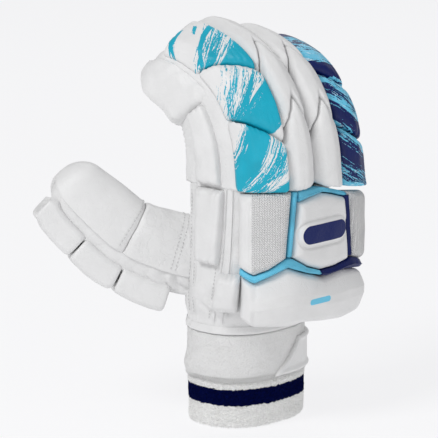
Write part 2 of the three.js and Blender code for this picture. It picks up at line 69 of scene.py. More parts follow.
SIDE_THICK, TIP_THICK = 5.0, 5.0
HAND_RISE = KNUCKLES - HEM_HEIGHT
KNUCKLE_SHIFT = 0.026 * PALM_WIDE


def table(names, *rows):
    """Rows of numbers as one array for each named column."""
    return dict(zip(names.split(), np.array(rows, float).T))


def mix(a, b, share):
    """The value a share of the way from a to b."""
    return a + (b - a) * share


def ease(low, high, value):
    """0 below low, 1 above high, and a smooth S between them."""
    share = np.clip((value - low) / (high - low), 0, 1)
    return share * share * (3 - 2 * share)


def hill(centre, reach, value):
    """1 at the centre, falling to 0 as a bell about reach wide each way."""
    return np.exp(-(((value - centre) / reach) ** 2))


def unit(vectors):
    """Vectors over their own lengths."""
    return vectors / np.maximum(np.linalg.norm(vectors, axis=-1, keepdims=True), 1e-9)


def rumple(points, size, seed):
    """Soft unevenness from about -1 to 1: the mean of twelve sine waves of about one length,
    each along its own seeded direction."""
    rng = np.random.default_rng(seed)
    ways = unit(rng.normal(size=(12, 3))) * rng.uniform(0.7, 1.4, (12, 1)) * 2 * np.pi / size
    return np.sin(points @ ways.T + rng.uniform(0, 2 * np.pi, 12)).mean(-1) * 2


def read(rows, column, at):
    """Smooth value of a column: a cubic between rows whose slope at a row is that of its
    neighbours, and a straight run past the last row."""
    ats, values = rows["at"], rows[column]
    last = len(ats) - 1
    order = np.arange(last + 1)
    before, after = np.maximum(order - 1, 0), np.minimum(order + 1, last)
    slopes = (values[after] - values[before]) / (ats[after] - ats[before])
    low = np.clip(np.searchsorted(ats, at, side="right") - 1, 0, last - 1)
    span = ats[low + 1] - ats[low]
    t = (at - ats[low]) / span
    a, b, rise = slopes[low] * span, slopes[low + 1] * span, values[low + 1] - values[low]
    inside = values[low] + t * (a + t * (3 * rise - 2 * a - b + t * (a + b - 2 * rise)))
    beyond = values[low + 1] + slopes[low + 1] * (at - ats[low + 1])
    return np.where(t > 1, beyond, inside)


class Limb:
    """A curved tube of superelliptic section. Its table gives the place and half sizes of stations
    from 0 to 1; sections start level and turn square to the curve within the first share "level"."""

    def __init__(self, rows, across=(1, 0, 0), tip=0, level=1e9):
        self.rows, self.across, self.tip, self.level = rows, np.array(across, float), tip, level
        self.length = np.linalg.norm(np.diff(self.centre(np.linspace(0, 1, 41)), axis=0), axis=1).sum()

    def centre(self, at):
        """The middle of the section at a station."""
        return np.stack([read(self.rows, axis, at) for axis in "xyz"], -1)

    def frame(self, at):
        """Unit vectors across the section and to its back: the first is the limb's own across
        made square to the curve, the second is their cross product."""
        run = unit(self.centre(at + 0.01) - self.centre(np.maximum(at - 0.01, 0)))
        upright = np.where(at < self.level, 1 - at / max(self.level, 1e-9), 0)[..., None]
        along = unit(run * (1 - upright) + np.array([0, 0, 1.0]) * upright)
        side = unit(self.across - along * (along @ self.across)[..., None])
        return side, np.cross(side, along)

    def halves(self, at, grow):
        """Half width, half depth and power of the section, drawn in by a quarter round at the tip."""
        cap = 1.0
        if self.tip > 0:
            lost = np.clip(1 - (1 - at) * self.length / self.tip, 0, 1)
            cap = np.sqrt(np.maximum(0, 1 - lost * lost))
        wide, deep = ((read(self.rows, name, at) + grow) * cap for name in ("wide", "deep"))
        return wide, deep, 2 / read(self.rows, "square", at)

    def local(self, at, sideways, backward, grow=0.0):
        """A place given by its station and its lengths across and back from the middle."""
        reach = at * (1 + grow / self.length) if self.tip > 0 else at
        side, back = self.frame(np.minimum(at, 1))
        return self.centre(reach) + side * sideways[..., None] + back * backward[..., None]

    def surface(self, at, angle, grow=0.0):
        """The skin at a station and an angle, grown outward: cosine and sine of the angle raised
        to the section's power, times its half sizes."""
        wide, deep, power = self.halves(at, grow)
        c, s = np.cos(angle), np.sin(angle)
        return self.local(at, wide * np.sign(c) * abs(c) ** power, deep * np.sign(s) * abs(s) ** power, grow)

    def seat(self, at, sideways, backward, grow):
        """The skin, grown outward, on the ray from the middle through a local place."""
        wide, deep, power = self.halves(at, grow)
        n = 2 / power
        share = (abs(sideways / wide) ** n + abs(backward / deep) ** n) ** (-1 / n)
        return self.local(at, sideways * share, backward * share, grow)

    def holds(self, points, grow):
        """Whether points lie within the skin: each is set against the nearest of 120 stations."""
        ats = np.linspace(0, 1, 120)
        middles = self.centre(ats)
        near = np.argmin(((points[:, None] - middles) ** 2).sum(-1), 1)
        side, back = self.frame(ats)
        off = points - middles[near]
        wide, deep, power = self.halves(ats[near], grow)
        n = 2 / power
        x, y = (off * side[near]).sum(-1), (off * back[near]).sum(-1)
        return abs(x / wide) ** n + abs(y / np.maximum(deep, 1e-6)) ** n < 1


def limb_of(rows, x, y, z, sizes, *rest):
    """A limb from a table of shares. Each axis has its start, its reach and the column that it follows."""
    places = {axis: start + reach * rows[column] for axis, (start, reach, column) in zip("xyz", (x, y, z))}
    halves = {name: rows[name] * size for name, size in zip(("wide", "deep"), sizes)}
    return Limb({"at": rows["at"], "square": rows["square"], **places, **halves}, *rest)


HEM_GROW = CLEARANCE + LEATHER - CUFF_NIP
WRIST = ((CUFF_WIDE / 2 + HEM_GROW) / PALM_WIDE, (CUFF_DEEP / 2 + HEM_GROW) / PALM_DEEP, 2.3)
HAND_ROWS = table(
    "at x y wide deep square",
    (0, 0, 0, *WRIST),
    ((CUFF_TUCK + 1) / HAND_RISE, 0, 0, *WRIST),
    (0.22, 0, 0.35, 0.468, 0.58, 2.6),
    (0.5, 0.01, 0.75, 0.485, 0.55, 3.1),
    (0.78, 0.02, 0.95, 0.497, 0.52, 3.6),
    (1, KNUCKLE_SHIFT / PALM_WIDE, 1, 0.5, 0.5, 4),
)
HAND_PLACES = (0, PALM_WIDE, "x"), (0, PALM_SHIFT, "y"), (HEM_HEIGHT, HAND_RISE, "at")
HAND = limb_of(HAND_ROWS, *HAND_PLACES, (PALM_WIDE, PALM_DEEP))
CURL = table(
    "at forward up wide deep square",
    (0, 0, 0, 0.5, 0.5, 3.4),
    (0.3, 0.05, 0.4, 0.5, 0.475, 3.2),
    (0.52, 0.22, 0.69, 0.495, 0.44, 3),
    (0.76, 0.56, 0.89, 0.485, 0.37, 2.8),
    (1, 1, 1, 0.46, 0.29, 2.6),
)


def finger(place, rise, back):
    """A finger's limb: the shared curl, its reach and its own step back at the knuckles."""
    x = KNUCKLE_SHIFT + place * FINGER_PITCH, 0, "at"
    y = PALM_SHIFT - back * FINGER_DEEP, FINGER_CURL * rise, "forward"
    z = KNUCKLES + CLEARANCE, FINGER_REACH * rise, "up"
    return limb_of(CURL, x, y, z, (FINGER_WIDE, FINGER_DEEP), (1, 0, 0), FINGER_TIP, 0.15)


FINGERS = {
    "index": finger(-1.5, 1, -0.0185),
    "middle": finger(-0.5, 1, 0.037),
    "ring": finger(0.5, 0.9, 0.083),
    "little": finger(1.5, 0.77, 0.065),
}
THUMB_ROWS = table(
    "at out forward up wide deep square",
    (0, 0, 0, 0, 0.44, 0.42, 2.3),
    (0.22, -0.187, 0.18, 0.066, 0.5, 0.54, 2.4),
    (0.53, -0.4, 0.37, 0.176, 0.5, 0.5, 2.5),
    (0.77, -0.524, 0.494, 0.324, 0.48, 0.46, 2.5),
    (1, -0.645, 0.616, 0.494, 0.44, 0.39, 2.5),
)
THUMB = limb_of(
    THUMB_ROWS,
    (-0.1 * PALM_WIDE, THUMB_LONG, "out"),
    (PALM_SHIFT + 0.19 * PALM_DEEP, THUMB_LONG, "forward"),
    (HEM_HEIGHT + 0.37 * HAND_RISE, THUMB_LONG, "up"),
    (THUMB_WIDE, THUMB_DEEP),
    (-0.628, -0.755, 0.129),
    THUMB_TIP,
    0,
)


# Meshes


def new_mesh(name, points, faces):
    """A mesh from places in millimetres and faces of four corners."""
    mesh = bpy.data.meshes.new(name)
    mesh.vertices.add(len(points))
    mesh.vertices.foreach_set("co", (points * 0.001).ravel())
    mesh.loops.add(faces.size)
    mesh.loops.foreach_set("vertex_index", faces.ravel())
    mesh.polygons.add(len(faces))
    mesh.polygons.foreach_set("loop_start", np.arange(0, faces.size, 4))
    mesh.update(calc_edges=True)
    return mesh


def smooth_object(name, mesh, material):
    """A smooth-shaded object of a mesh, put in the scene."""
    mesh.polygons.foreach_set("use_smooth", np.ones(len(mesh.polygons), bool))
    mesh.materials.append(material)
    piece = bpy.data.objects.new(name, mesh)
    bpy.context.scene.collection.objects.link(piece)
    return piece


def cells_of(index):
    """The four corners of every cell of a grid of corner numbers."""
    return np.stack([index[:-1, :-1], index[:-1, 1:], index[1:, 1:], index[1:, :-1]], -1).reshape(-1, 4)


def mesh_piece(name, grids, material, drop=None):
    """One object from grids of points, each (points, uv): every cell becomes a face, coincident
    corners are merged and faces are turned outward. A drop test leaves out faces whose corners all pass."""
    points = np.concatenate([grid.reshape(-1, 3) for grid, _ in grids])
    flat = np.concatenate([uv.reshape(-1, 2) for _, uv in grids])
    faces, start = [], 0
    for grid, _ in grids:
        rows, columns = grid.shape[:2]
        faces.append(cells_of(start + np.arange(rows * columns).reshape(rows, columns)))
        start += rows * columns
    faces = np.concatenate(faces)
    if drop is not None:
        faces = faces[~drop(points)[faces].all(1)]
    mesh = new_mesh(name, points, faces)
    layer = mesh.uv_layers.new(name="Surface")
    layer.uv.foreach_set("vector", (flat[faces.ravel()] * 0.01).ravel())
    work = bmesh.new()
    work.from_mesh(mesh)
    bmesh.ops.remove_doubles(work, verts=work.verts, dist=4e-6)
    bmesh.ops.delete(work, geom=[v for v in work.verts if not v.link_faces], context="VERTS")
    bmesh.ops.recalc_face_normals(work, faces=work.faces)
    work.to_mesh(mesh)
    work.free()
    return smooth_object(name, mesh, material)


def closed(outer, inner, uv):
    """Grids of a closed form: the outer sheet, the seat under it, and a strip round their four edges."""
    strips = [
        (np.stack([outer[edge], inner[edge]]), np.stack([uv[edge], uv[edge]]))
        for edge in ((0, slice(None)), (-1, slice(None)), (slice(None), 0), (slice(None), -1))
    ]
    return [(outer, uv), (inner, uv), *strips]


def dress(piece, nodes):
    """Rides a piece on the frame and hides the frame's parts of the nodes it stands for."""
    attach(piece, "root")
    if nodes:
        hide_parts(*nodes)
    return piece


def lattice(rows, columns):
    """Two arrays: the row shares and the column shares of every grid point."""
    return np.meshgrid(rows, columns, indexing="ij")


def close_ends(count, length, rounded):
    """Shares from 0 to 1 with eight rows packed into the rounded length at each end."""
    edge = np.sin(np.linspace(0, np.pi / 2, 8)[:-1]) ** 2 * min(rounded / length, 0.45)
    middle = np.linspace(min(rounded / length, 0.45), 1 - min(rounded / length, 0.45), count)
    return np.concatenate([edge, middle, 1 - edge[::-1]])


def quarter_round(distance, radius):
    """How far a rounded edge falls below the face at a distance in from the rim: the gap between
    a quarter circle and its tangent."""
    inward = np.clip(radius - distance, 0, radius)
    return radius - np.sqrt(np.maximum(radius * radius - inward * inward, 0))


# Materials


class Wire:
    """One socket of a shader. Arithmetic on wires adds Math nodes."""

    def __init__(self, shader, socket):
        self.shader, self.socket = shader, socket

    def math(self, operation, *others):
        """A Math node of this wire and up to two more values."""
        values = dict(enumerate((self, *others)))
        return self.shader.add("ShaderNodeMath", {"operation": operation}, values)

    def __rsub__(self, other):
        return self.math("MULTIPLY_ADD", -1, other)

    __add__ = __radd__ = partialmethod(math, "ADD")
    __mul__ = __rmul__ = partialmethod(math, "MULTIPLY")
    __sub__ = partialmethod(math, "SUBTRACT")
    __abs__ = partialmethod(math, "ABSOLUTE")
    least = partialmethod(math, "MINIMUM")
    most = partialmethod(math, "MAXIMUM")

    def step(self, low, high):
        """0 below low, 1 above high and smooth between."""
        settings = {"interpolation_type": "SMOOTHSTEP"}
        return self.shader.add("ShaderNodeMapRange", settings, {0: self, 1: low, 2: high})


class Shader:
    """A material's node tree, built by expressions."""

    def __init__(self, name):
        self.material = bpy.data.materials.new(name)
        self.material.use_nodes = True
        self.tree = self.material.node_tree
        self.surface = self.tree.nodes["Principled BSDF"]

    def add(self, kind, settings, values, output=0):
        """A node of a kind, its settings made first and then its sockets' values or links."""
        node = self.tree.nodes.new(kind)
        for key, value in settings.items():
            setattr(node, key, value)
        for key, value in values.items():
            self.put(node.inputs[key], value)
        return Wire(self, node.outputs[output])

    def put(self, socket, value):
        """Links a wire to a socket, or writes a plain value into it."""
        if isinstance(value, Wire):
            self.tree.links.new(value.socket, socket)
        else:
            socket.default_value = value

    def place(self, where="Object"):
        """Coordinates in metres over the object."""
        return self.add("ShaderNodeTexCoord", {}, {}, where)

    def ruled(self):
        """Millimetres across and along the piece's own surface."""
        across, along, _ = self.parts(self.place("UV"))
        return across * 100, along * 100

    def parts(self, vector):
        """The three numbers of a vector."""
        node = self.add("ShaderNodeSeparateXYZ", {}, {0: vector}).socket.node
        return [Wire(self, socket) for socket in node.outputs]

    def join(self, x, y, z=0.0):
        """A vector of three numbers."""
        return self.add("ShaderNodeCombineXYZ", {}, {0: x, 1: y, 2: z})

    def noise(self, vector, size, detail=2.0, rough=0.5, twist=0.0):
        """Noise of about 0.5 whose features are about size across."""
        values = {"Scale": 1 / size, "Detail": detail, "Roughness": rough, "Distortion": twist}
        return self.add("ShaderNodeTexNoise", {}, {"Vector": vector, **values})

    def cells(self, vector, size, random=1.0):
        """Distance to the nearest of scattered points, about size apart."""
        values = {"Vector": vector, "Scale": 1 / size, "Randomness": random}
        return self.add("ShaderNodeTexVoronoi", {}, values, "Distance")

    def blend(self, share, first, second):
        """One colour laid over another by a share."""
        values = {0: share, 6: first, 7: second}
        return self.add("ShaderNodeMix", {"data_type": "RGBA"}, values, 2)

    def finish(self, colour, rough, height=None, depth=0.0005, **rest):
        """Feeds the surface: colour, roughness, relief of a depth in metres, and plain values."""
        self.put(self.surface.inputs["Base Color"], colour)
        self.put(self.surface.inputs["Roughness"], rough)
        if height is not None:
            relief = {"Height": height, "Distance": depth, "Strength": 1.0}
            self.put(self.surface.inputs["Normal"], self.add("ShaderNodeBump", {}, relief))
        for key, value in rest.items():
            self.put(self.surface.inputs[key.replace("_", " ")], value)
        return self.material


def rgba(colour):
    """A colour property as four numbers."""
    return (*colour, 1.0)


def darker(colour, share):
    """A colour times a share."""
    return (*(channel * share for channel in colour[:3]), 1.0)


def leather_relief(shader, creased=0.12):
    """Coated leather: fine grain of small cells, faint stretched creases and soft hollows."""
    spot = shader.place()
    grain = shader.cells(spot, 0.0009) * 0.10
    crease = abs(shader.noise(spot, 0.011, 4, 0.55, 0.6) - 0.5).step(0.0, 0.05) * creased
    fine = abs(shader.noise(spot, 0.004, 3, 0.6, 0.8) - 0.5).step(0.0, 0.05) * 0.06
    hollows = shader.noise(spot, 0.02, 2) * 0.6
    return grain + crease + fine + hollows


def leather(name, colour, rough=0.42, extra=None, dip=0.96, mark=None, gleam=0.42, creased=0.12):
    """Plain coated leather: its colour dips a little in soft patches, with grain and creases. A mark is
    a plain printed bar with round ends, given as its measures and colour."""
    shader = Shader(name)
    patches = shader.noise(shader.place(), 0.016, 3).step(0.35, 0.7)
    shade = shader.blend(patches, darker(colour, dip), rgba(colour))
    height = leather_relief(shader, creased)
    if mark is not None:
        (middle, level, half, radius), ink = mark
        across, along = shader.ruled()
        aside, above = (abs(across - middle) - half).most(0.0), along - level
        edge = aside * aside + above * above
        shade = shader.blend(1 - edge.step((radius - 0.15) ** 2, (radius + 0.15) ** 2), shade, rgba(ink))
    if extra is not None:
        height = height + extra(shader)
    gloss = shader.noise(shader.place(), 0.008, 2) * 0.16 + (rough - 0.08)
    return shader.finish(shade, gloss, height, 0.00055, Specular_IOR_Level=gleam)


def brush(shader, s, t, row):
    """One dry brush stroke: a bent bar with its own centre, turn, width and length, whose edges break
    up into streaks of noise drawn out along the stroke."""
    centre_s, centre_t, turn, wide, long, bend, fill, dry = row
    cosine, sine = math.cos(math.radians(turn)), math.sin(math.radians(turn))
    along = (s - centre_s) * cosine + (t - centre_t) * sine
    aside = (t - centre_t) * cosine - (s - centre_s) * sine - along * along * bend
    streak = shader.noise(shader.join(along * 0.06, aside * 0.85, centre_s + turn), 1.0, 2, 0.5)
    hair = shader.noise(shader.join(along * 0.13, aside * 2.1, centre_t), 1.0, 3, 0.6)
    fleck = shader.noise(shader.join(along * 0.7, aside * 1.3, centre_t), 1.0, 3, 0.6)
    rim = (1 - abs(aside) * (2 / wide)).least((1 - abs(along) * (2 / long)) * 1.6)
    wear = (streak - 0.5) * dry + (hair - 0.5) * (dry * 0.9) + (fleck - 0.5) * (dry * 0.55)
    return (rim * 1.3 + fill + wear).step(-0.02, 0.07).least(rim.step(-0.04, 0.06))


def printed(name, ground, colour, strokes, deep=None):
    """Leather printed with brush strokes in the surface's own millimetres, across and along."""
    shader = Shader(name)
    s, t = shader.ruled()
    ink = None
    for row in strokes:
        stroke = brush(shader, s, t, row)
        ink = stroke if ink is None else ink.most(stroke)
    tone = shader.noise(shader.place(), 0.02, 2).step(0.3, 0.7)
    inks = shader.blend(tone, darker(colour, 0.86), rgba(colour))
    base = shader.blend(tone, darker(ground, 0.95), rgba(ground))
    if deep is not None:
        speck = shader.noise(shader.join(s * 0.22 + t * 0.1, t * 0.9 + s * 0.4), 1.0, 4, 0.65)
        base = shader.blend(speck.step(0.56, 0.61) * 0.75, base, rgba(deep))
    shade = shader.blend(ink, base, inks)
    height = leather_relief(shader) + ink * 0.03
    return shader.finish(shade, 0.36, height, 0.0005, Specular_IOR_Level=0.3)


def sized(name, default, note):
    """A length that a user may change."""
    limits = {"min": 0, "max": 0.02, "precision": 5}
    return FloatProperty(name=name, description=note, default=default, unit="LENGTH", **limits)


def hue(name, default, note):
    """A colour that a user may change."""
    kind = {"min": 0, "max": 1, "size": 3, "subtype": "COLOR"}
    return FloatVectorProperty(name=name, description=note, default=default, **kind)


class GloveSizes(bpy.types.PropertyGroup):
    """Sizes of the finish."""

    roll_round: sized("Roll rounding", 0.0032, "Radius of the padded segments' ends")
    roll_swell: sized("Roll swell", 0.0008, "How far a padded segment stands up in its middle")
    pucker: sized("Pucker", 0.00035, "Depth of the ripples beside a seam")
    crease: sized("Crease", 0.0009, "Depth of the folds in the leather walls")
    pad_round: sized("Pad rounding", 0.004, "Radius of the back pads' edges")
    trim_fold: sized("Trim fold", 0.0016, "Height of each fold of the trim")
    stitch_long: sized("Stitch length", 0.0016, "Length of one stitch")
    stitch_gap: sized("Stitch pitch", 0.0026, "Distance from one stitch to the next")
    stitch_thick: sized("Stitch thickness", 0.0005, "Thickness of the thread")
    loop_tall: sized("Terry loop height", 0.0010, "How far the towelling's loops stand out")
    loop_pitch: sized("Terry loop pitch", 0.00125, "Distance between the towelling's loops")
    fibre: sized("Brushed fibre", 0.0011, "Length of the strap's raised fibres")


class GloveColours(bpy.types.PropertyGroup):
    """Colours of the finish, as linear values."""

    leather: hue("Leather", (0.745, 0.745, 0.745), "White coated leather")
    teal: hue("Teal", (0.006, 0.39, 0.54), "Brush print on the forefinger")
    sky: hue("Sky blue", (0.14, 0.55, 0.77), "Trim and the little finger's ground")
    navy: hue("Navy", (0.001, 0.009, 0.10), "Trim and the little finger's print")
    stripe: hue("Stripe", (0.0004, 0.003, 0.055), "Knitted stripe of the cuff")
    towel: hue("Towelling", (0.93, 0.93, 0.92), "Terry loops of the cuff")
    strap: hue("Strap", (0.90, 0.90, 0.895), "Brushed loop fabric of the strap")


def lengths():
    """The sizes of the finish, in millimetres by name."""
    group = bpy.context.scene.glove_sizes
    return {name: getattr(group, name) * 1000 for name in GloveSizes.__annotations__}


def colours():
    """The colours of the finish by name."""
    group = bpy.context.scene.glove_colours
    return {name: tuple(getattr(group, name)) for name in GloveColours.__annotations__}


# Rolls

CHAMFERED = ((-0.92, -0.12), (-0.88, 0.1), (-0.6, 0.4), (0.2, 0.76), (0.8, 0.98), (1, 0.88), (1, -0.06))
RIDGED = ((-1, -0.06), (-1, 0.66), (-0.6, 0.94), (0, 1.04), (0.6, 0.94), (1, 0.66), (1, -0.06))
ROUNDED = ((-1, -0.06), (-1, 0.8), (-0.7, 0.95), (0.1, 0.98), (0.75, 0.86), (1, 0.64), (1, -0.1))
BOXED = ((-1, -0.1), (-1, 0.78), (-0.8, 1), (0.8, 1), (1, 0.78), (1, -0.1))
FINGER_THINS = table("at up", (0, 1), (0.4, 0.96), (0.65, 0.88), (0.85, 0.75), (1, 0.56))
THUMB_THINS = table("at up", (0, 1), (1, 0.96))
TIP_SEAT = 0.93
# profile, stations of the cuts, rise and slant of a cut, slant of the foot
ROLLS = {
    "index": (CHAMFERED, (0.0, 0.318, 0.578, 0.89), 0, -0.07, 0),
    "middle": (RIDGED, (0.005, 0.28, 0.5, 0.95), 0.14, 0, 0.01),
    "ring": (RIDGED, (-0.025, 0.28, 0.5, 0.95), 0.14, 0, -0.04),
    "little": (ROUNDED, (-0.1, 0.27, 0.5, 0.95), 0, -0.05, -0.03),
    "thumb": (BOXED, (0.255, 0.5, 0.71, 0.97), 0, 0, 0),
}


def rounded_profile(profile, half, tall, count, soften):
    """A profile's points at even steps along its length, its corners softened by a running bell mean.
    Returns the place across, the height, and the length run so far."""
    corners = np.array(profile, float) * (half, tall)
    run = np.concatenate([[0], np.cumsum(np.linalg.norm(np.diff(corners, axis=0), axis=1))])
    spot = np.linspace(0, run[-1], count)
    line = np.stack([np.interp(spot, run, corners[:, k]) for k in (0, 1)], -1)
    reach = np.arange(-12, 13)
    bell = np.exp(-((reach * run[-1] / count / soften) ** 2) / 2)
    bell /= bell.sum()
    padded = np.concatenate([2 * line[:1] - line[12:0:-1], line, 2 * line[-1:] - line[-2:-14:-1]])
    soft = np.stack([np.convolve(padded[:, k], bell, "valid") for k in (0, 1)], -1)
    soft[0], soft[-1] = line[0], line[-1]
    return soft[:, 0], soft[:, 1], spot


def roll_grids(limb, plan, part, wide, tall, thins, finish, seed):
    """A padded segment: the rounded profile carried along the limb between two cuts, quarter-round at
    both ends, swelling a little between them, with ripples that die away from the seams."""
    profile, cuts, rise, slant, foot = plan
    half_gap = ROLL_GAP / limb.length / 2
    low = cuts[part] + (half_gap if part > 0 else 0)
    high = cuts[part + 1] - (half_gap if part < 2 else 0)
    long = (high - low) * limb.length
    rows = close_ends(22, long, finish["roll_round"])
    across, height, run = rounded_profile(profile, wide / 2, tall, 84, 1.1)
    v, column = lattice(rows, np.arange(len(across)))
    side, up, spot = across[column], height[column], run[column]
    share = side / (wide / 2)
    bent = rise * (1 - abs(share)) + slant * share
    shift = (bent if part > 0 else foot * share) * (1 - v) + (bent * v if part < 2 else 0)
    at = mix(low, high, v) + shift
    base = limb.halves(np.minimum(at, TIP_SEAT), 0)[1]
    near = np.minimum(v, 1 - v) * long
    fall = quarter_round(near, finish["roll_round"])
    top = ease(0.0, 6.0, up)
    thin = np.where(up > 0, read(thins, "up", at), 1)
    ripple = np.sin(spot * 1.55 + 2 * np.sin(spot * 0.31 + seed)) * np.exp(-near / 2.6) * finish["pucker"]
    swell = finish["roll_swell"] * (4 * v * (1 - v)) ** 0.7 * top
    lift = up * thin + swell - fall * top + ripple * top
    side = side - np.sign(side) * (fall * 0.55 - swell * 0.15) * abs(share) ** 4
    spots = limb.local(at, side, base + lift)
    lift = lift + rumple(spots, 13.0, seed) * 0.22 * top
    outer = limb.local(at, side, base + lift)
    inner = limb.seat(np.minimum(at, TIP_SEAT), side, base + lift, -LEATHER / 2)
    return closed(outer, inner, np.stack([spot, at * limb.length], -1))


# for each segment from the knuckle up: s, t, turn, width, length, bend, fill, dryness of each stroke
INDEX_STROKES = (
    (
        (11, 20, 52, 16.5, 64, 0.004, 0.05, 2.1),
        (4, 27, 50, 5, 30, 0.0, -0.85, 4.4),
        (24, 12, 48, 18, 48, 0.004, -0.62, 4.6),
        (33, 1.5, 28, 9, 30, 0.0, 0.0, 2.2),
        (15, 4.5, 30, 4, 26, 0.0, -0.3, 3.4),
    ),
    (
        (28, 38.0, 26, 16, 46, 0.006, 0.1, 1.6),
        (19, 46, 32, 10, 42, -0.006, -0.55, 4.0),
        (18, 42.5, 30, 1.6, 38, -0.010, 0.3, 1.6),
        (5, 43, 62, 7, 24, 0.0, -0.75, 4.0),
        (12, 50, 36, 18, 46, 0.0, -1.25, 5.2),
    ),
    (
        (27, 58, 17, 14, 46, 0.003, 0.2, 1.4),
        (20, 70, 22, 17, 46, 0.0, -0.6, 4.4),
        (5, 64, 60, 6, 18, 0.0, -0.9, 4.0),
        (18, 76.2, 27, 2.6, 36, -0.012, 0.3, 1.6),
        (11, 90.0, 14, 4.2, 26, -0.008, 0.0, 2.6),
        (26, 84.5, 20, 3.0, 10, 0.0, -0.7, 4.0),
    ),
)
LITTLE_STROKES = (
    (
        (28, 14, -26, 14, 50, 0.0, -0.1, 3.4),
        (34, 0, -30, 14, 44, 0.0, -0.75, 4.8),
    ),
    (
        (30, 27.5, -24, 7, 50, 0.0, 0.0, 2.8),
        (30, 20, -24, 6, 50, 0.0, -0.9, 4.4),
        (30, 36, -24, 9, 50, 0.0, -0.85, 4.8),
    ),
    (
        (34, 66, -20, 6, 40, 0.0, -0.1, 2.6),
        (44, 54, -14, 14, 60, 0.0, -0.8, 4.8),
        (46, 41.5, -8, 7, 70, 0.0, 0.0, 2.8),
    ),
)


class GLOVE_OT_rolls(bpy.types.Operator):
    """Build the padded segments over the fingers and the thumb"""

    bl_idname = "glove.rolls"
    bl_label = "Rolls"

    def execute(self, context):
        finish, tint = lengths(), colours()
        plain = leather("roll_leather", tint["leather"])
        pale = (0.62, 0.78, 0.88)
        prints = {
            "index": ("print_teal", "teal", INDEX_STROKES, tint["leather"], None),
            "little": ("print_sky", "navy", LITTLE_STROKES, tint["sky"], pale),
        }
        for order, (name, plan) in enumerate(ROLLS.items()):
            limb, wide, tall, thins = FINGERS.get(name), ROLL_WIDE, ROLL_TALL, FINGER_THINS
            if limb is None:
                limb, wide, tall, thins = THUMB, THUMB_ROLL_WIDE, THUMB_ROLL_TALL, THUMB_THINS
            for part in range(3):
                seed = order * 3 + part + 1
                material, slot = plain, "white_leather"
                if name in prints:
                    slot, ink, strokes, ground, specks = prints[name]
                    title = f"{ink}_brush_print_{part + 1}"
                    material = printed(title, ground, tint[ink], strokes[part], specks)
                grids = roll_grids(limb, plan, part, wide, tall, thins, finish, seed)
                piece = mesh_piece(f"{name}_roll_{part + 1}_cover", grids, material)
                dress(piece, [f"roll_{name}_{part + 1}"])
        return {"FINISHED"}


# Back of the hand

BACK_PLAN = table(
    "at x out",
    (0, -0.479, -0.32),
    (0.11, -0.46, 0.28),
    (0.307, -0.227, 0.98),
    (0.514, 0.07, 1.12),
    (0.7, 0.34, 1.08),
    (0.84, 0.536, 0.84),
    (1, 0.577, -0.1),
)
BACK_FACE = PALM_SHIFT - PALM_DEEP / 2
RIM_UP, NAVY_TOP, TRIM_MEET = 0.995, 0.9, 0.5
LAP_UP, LAP_ALONG = TRIM_EASE / HAND_RISE, TRIM_EASE / BACK_LONG
# each pad: left ends, right ends, and rows of share, low and high
BLOCK_INDEX = (
    (0.02, 0.02),
    (0.282, 0.312),
    table("at low high", (0, 0.5, 0.985), (0.39, 0.455, RIM_UP), (0.67, 0.49, RIM_UP), (1, 0.56, RIM_UP)),
)
PAD_CENTRE = (
    (0.318, 0.352),
    (0.706, 0.676),
    table("at low high", (0, 0.56, 0.92), (0.25, 0.485, 0.94), (0.5, 0.44, 0.955), (0.75, 0.445, 0.93),
          (1, 0.465, 0.895)),
)
BLOCK_LITTLE = (
    (0.738, 0.715),
    (0.95, 0.95),
    table("at low high", (0, 0.48, 0.925), (0.5, 0.43, 0.9), (1, 0.42, 0.86)),
)
BAR_WRIST = (
    (0.03, 0.03),
    (0.93, 0.93),
    table("at low high", (0, 0.15, 0.44), (0.107, 0.1, 0.395), (0.29, 0.09, 0.49), (0.43, 0.1, 0.43),
          (0.57, 0.08, 0.385), (0.73, 0.065, 0.4), (0.86, 0.08, 0.375), (1, 0.16, 0.35)),
)


def pad_place(pad, u, v, drop):
    """A pad's face and seat: u and v blend its edges into a station of the back's plan and a height up
    the hand, drawn in towards the hand's middle by drop."""
    left, right, rows = pad
    at = mix(mix(left[0], left[1], v), mix(right[0], right[1], v), u)
    up = mix(np.interp(u, rows["at"], rows["low"]), np.interp(u, rows["at"], rows["high"]), v)
    middle = HAND.centre(up)
    side = read(BACK_PLAN, "x", at) * PALM_WIDE - middle[..., 0]
    back = middle[..., 1] - (BACK_FACE - read(BACK_PLAN, "out", at) * PAD_STAND)
    share = 1 - drop / np.hypot(side, back)
    outer = HAND.local(up, side * share, back * share)
    return outer, HAND.seat(up, side * share, back * share, -LEATHER / 2), at, up


def pad_grids(pad, finish, shape, seed, count=82):
    """A padded block: the plan's face with quarter-round edges, a low crown, and a relief of its own
    given by shape(across, up, distance to the rim)."""
    left, right, rows = pad
    wide = (right[0] - left[0]) * BACK_LONG
    tall = (rows["high"] - rows["low"]).mean() * HAND_RISE
    radius = finish["pad_round"]
    v, u = lattice(close_ends(count, tall, radius), close_ends(count, wide, radius))
    rim = np.minimum(np.minimum(u, 1 - u) * wide, np.minimum(v, 1 - v) * tall)
    spots, _, at, up = pad_place(pad, u, v, 0.0)
    drop = quarter_round(rim, radius) - 0.8 * (16 * u * (1 - u) * v * (1 - v)) ** 0.5
    drop = drop + shape(at * BACK_LONG, up * HAND_RISE, rim) - rumple(spots, 16.0, seed) * 0.25
    outer, inner, at, up = pad_place(pad, u, v, drop)
    return closed(outer, inner, np.stack([at * BACK_LONG, up * HAND_RISE], -1))


def edge_of(pad, column, at):
    """A pad's lower or upper edge at a station of the back."""
    left, right, rows = pad
    return np.interp(np.clip((at - left[0]) / (right[0] - left[0]), 0, 1), rows["at"], rows[column])


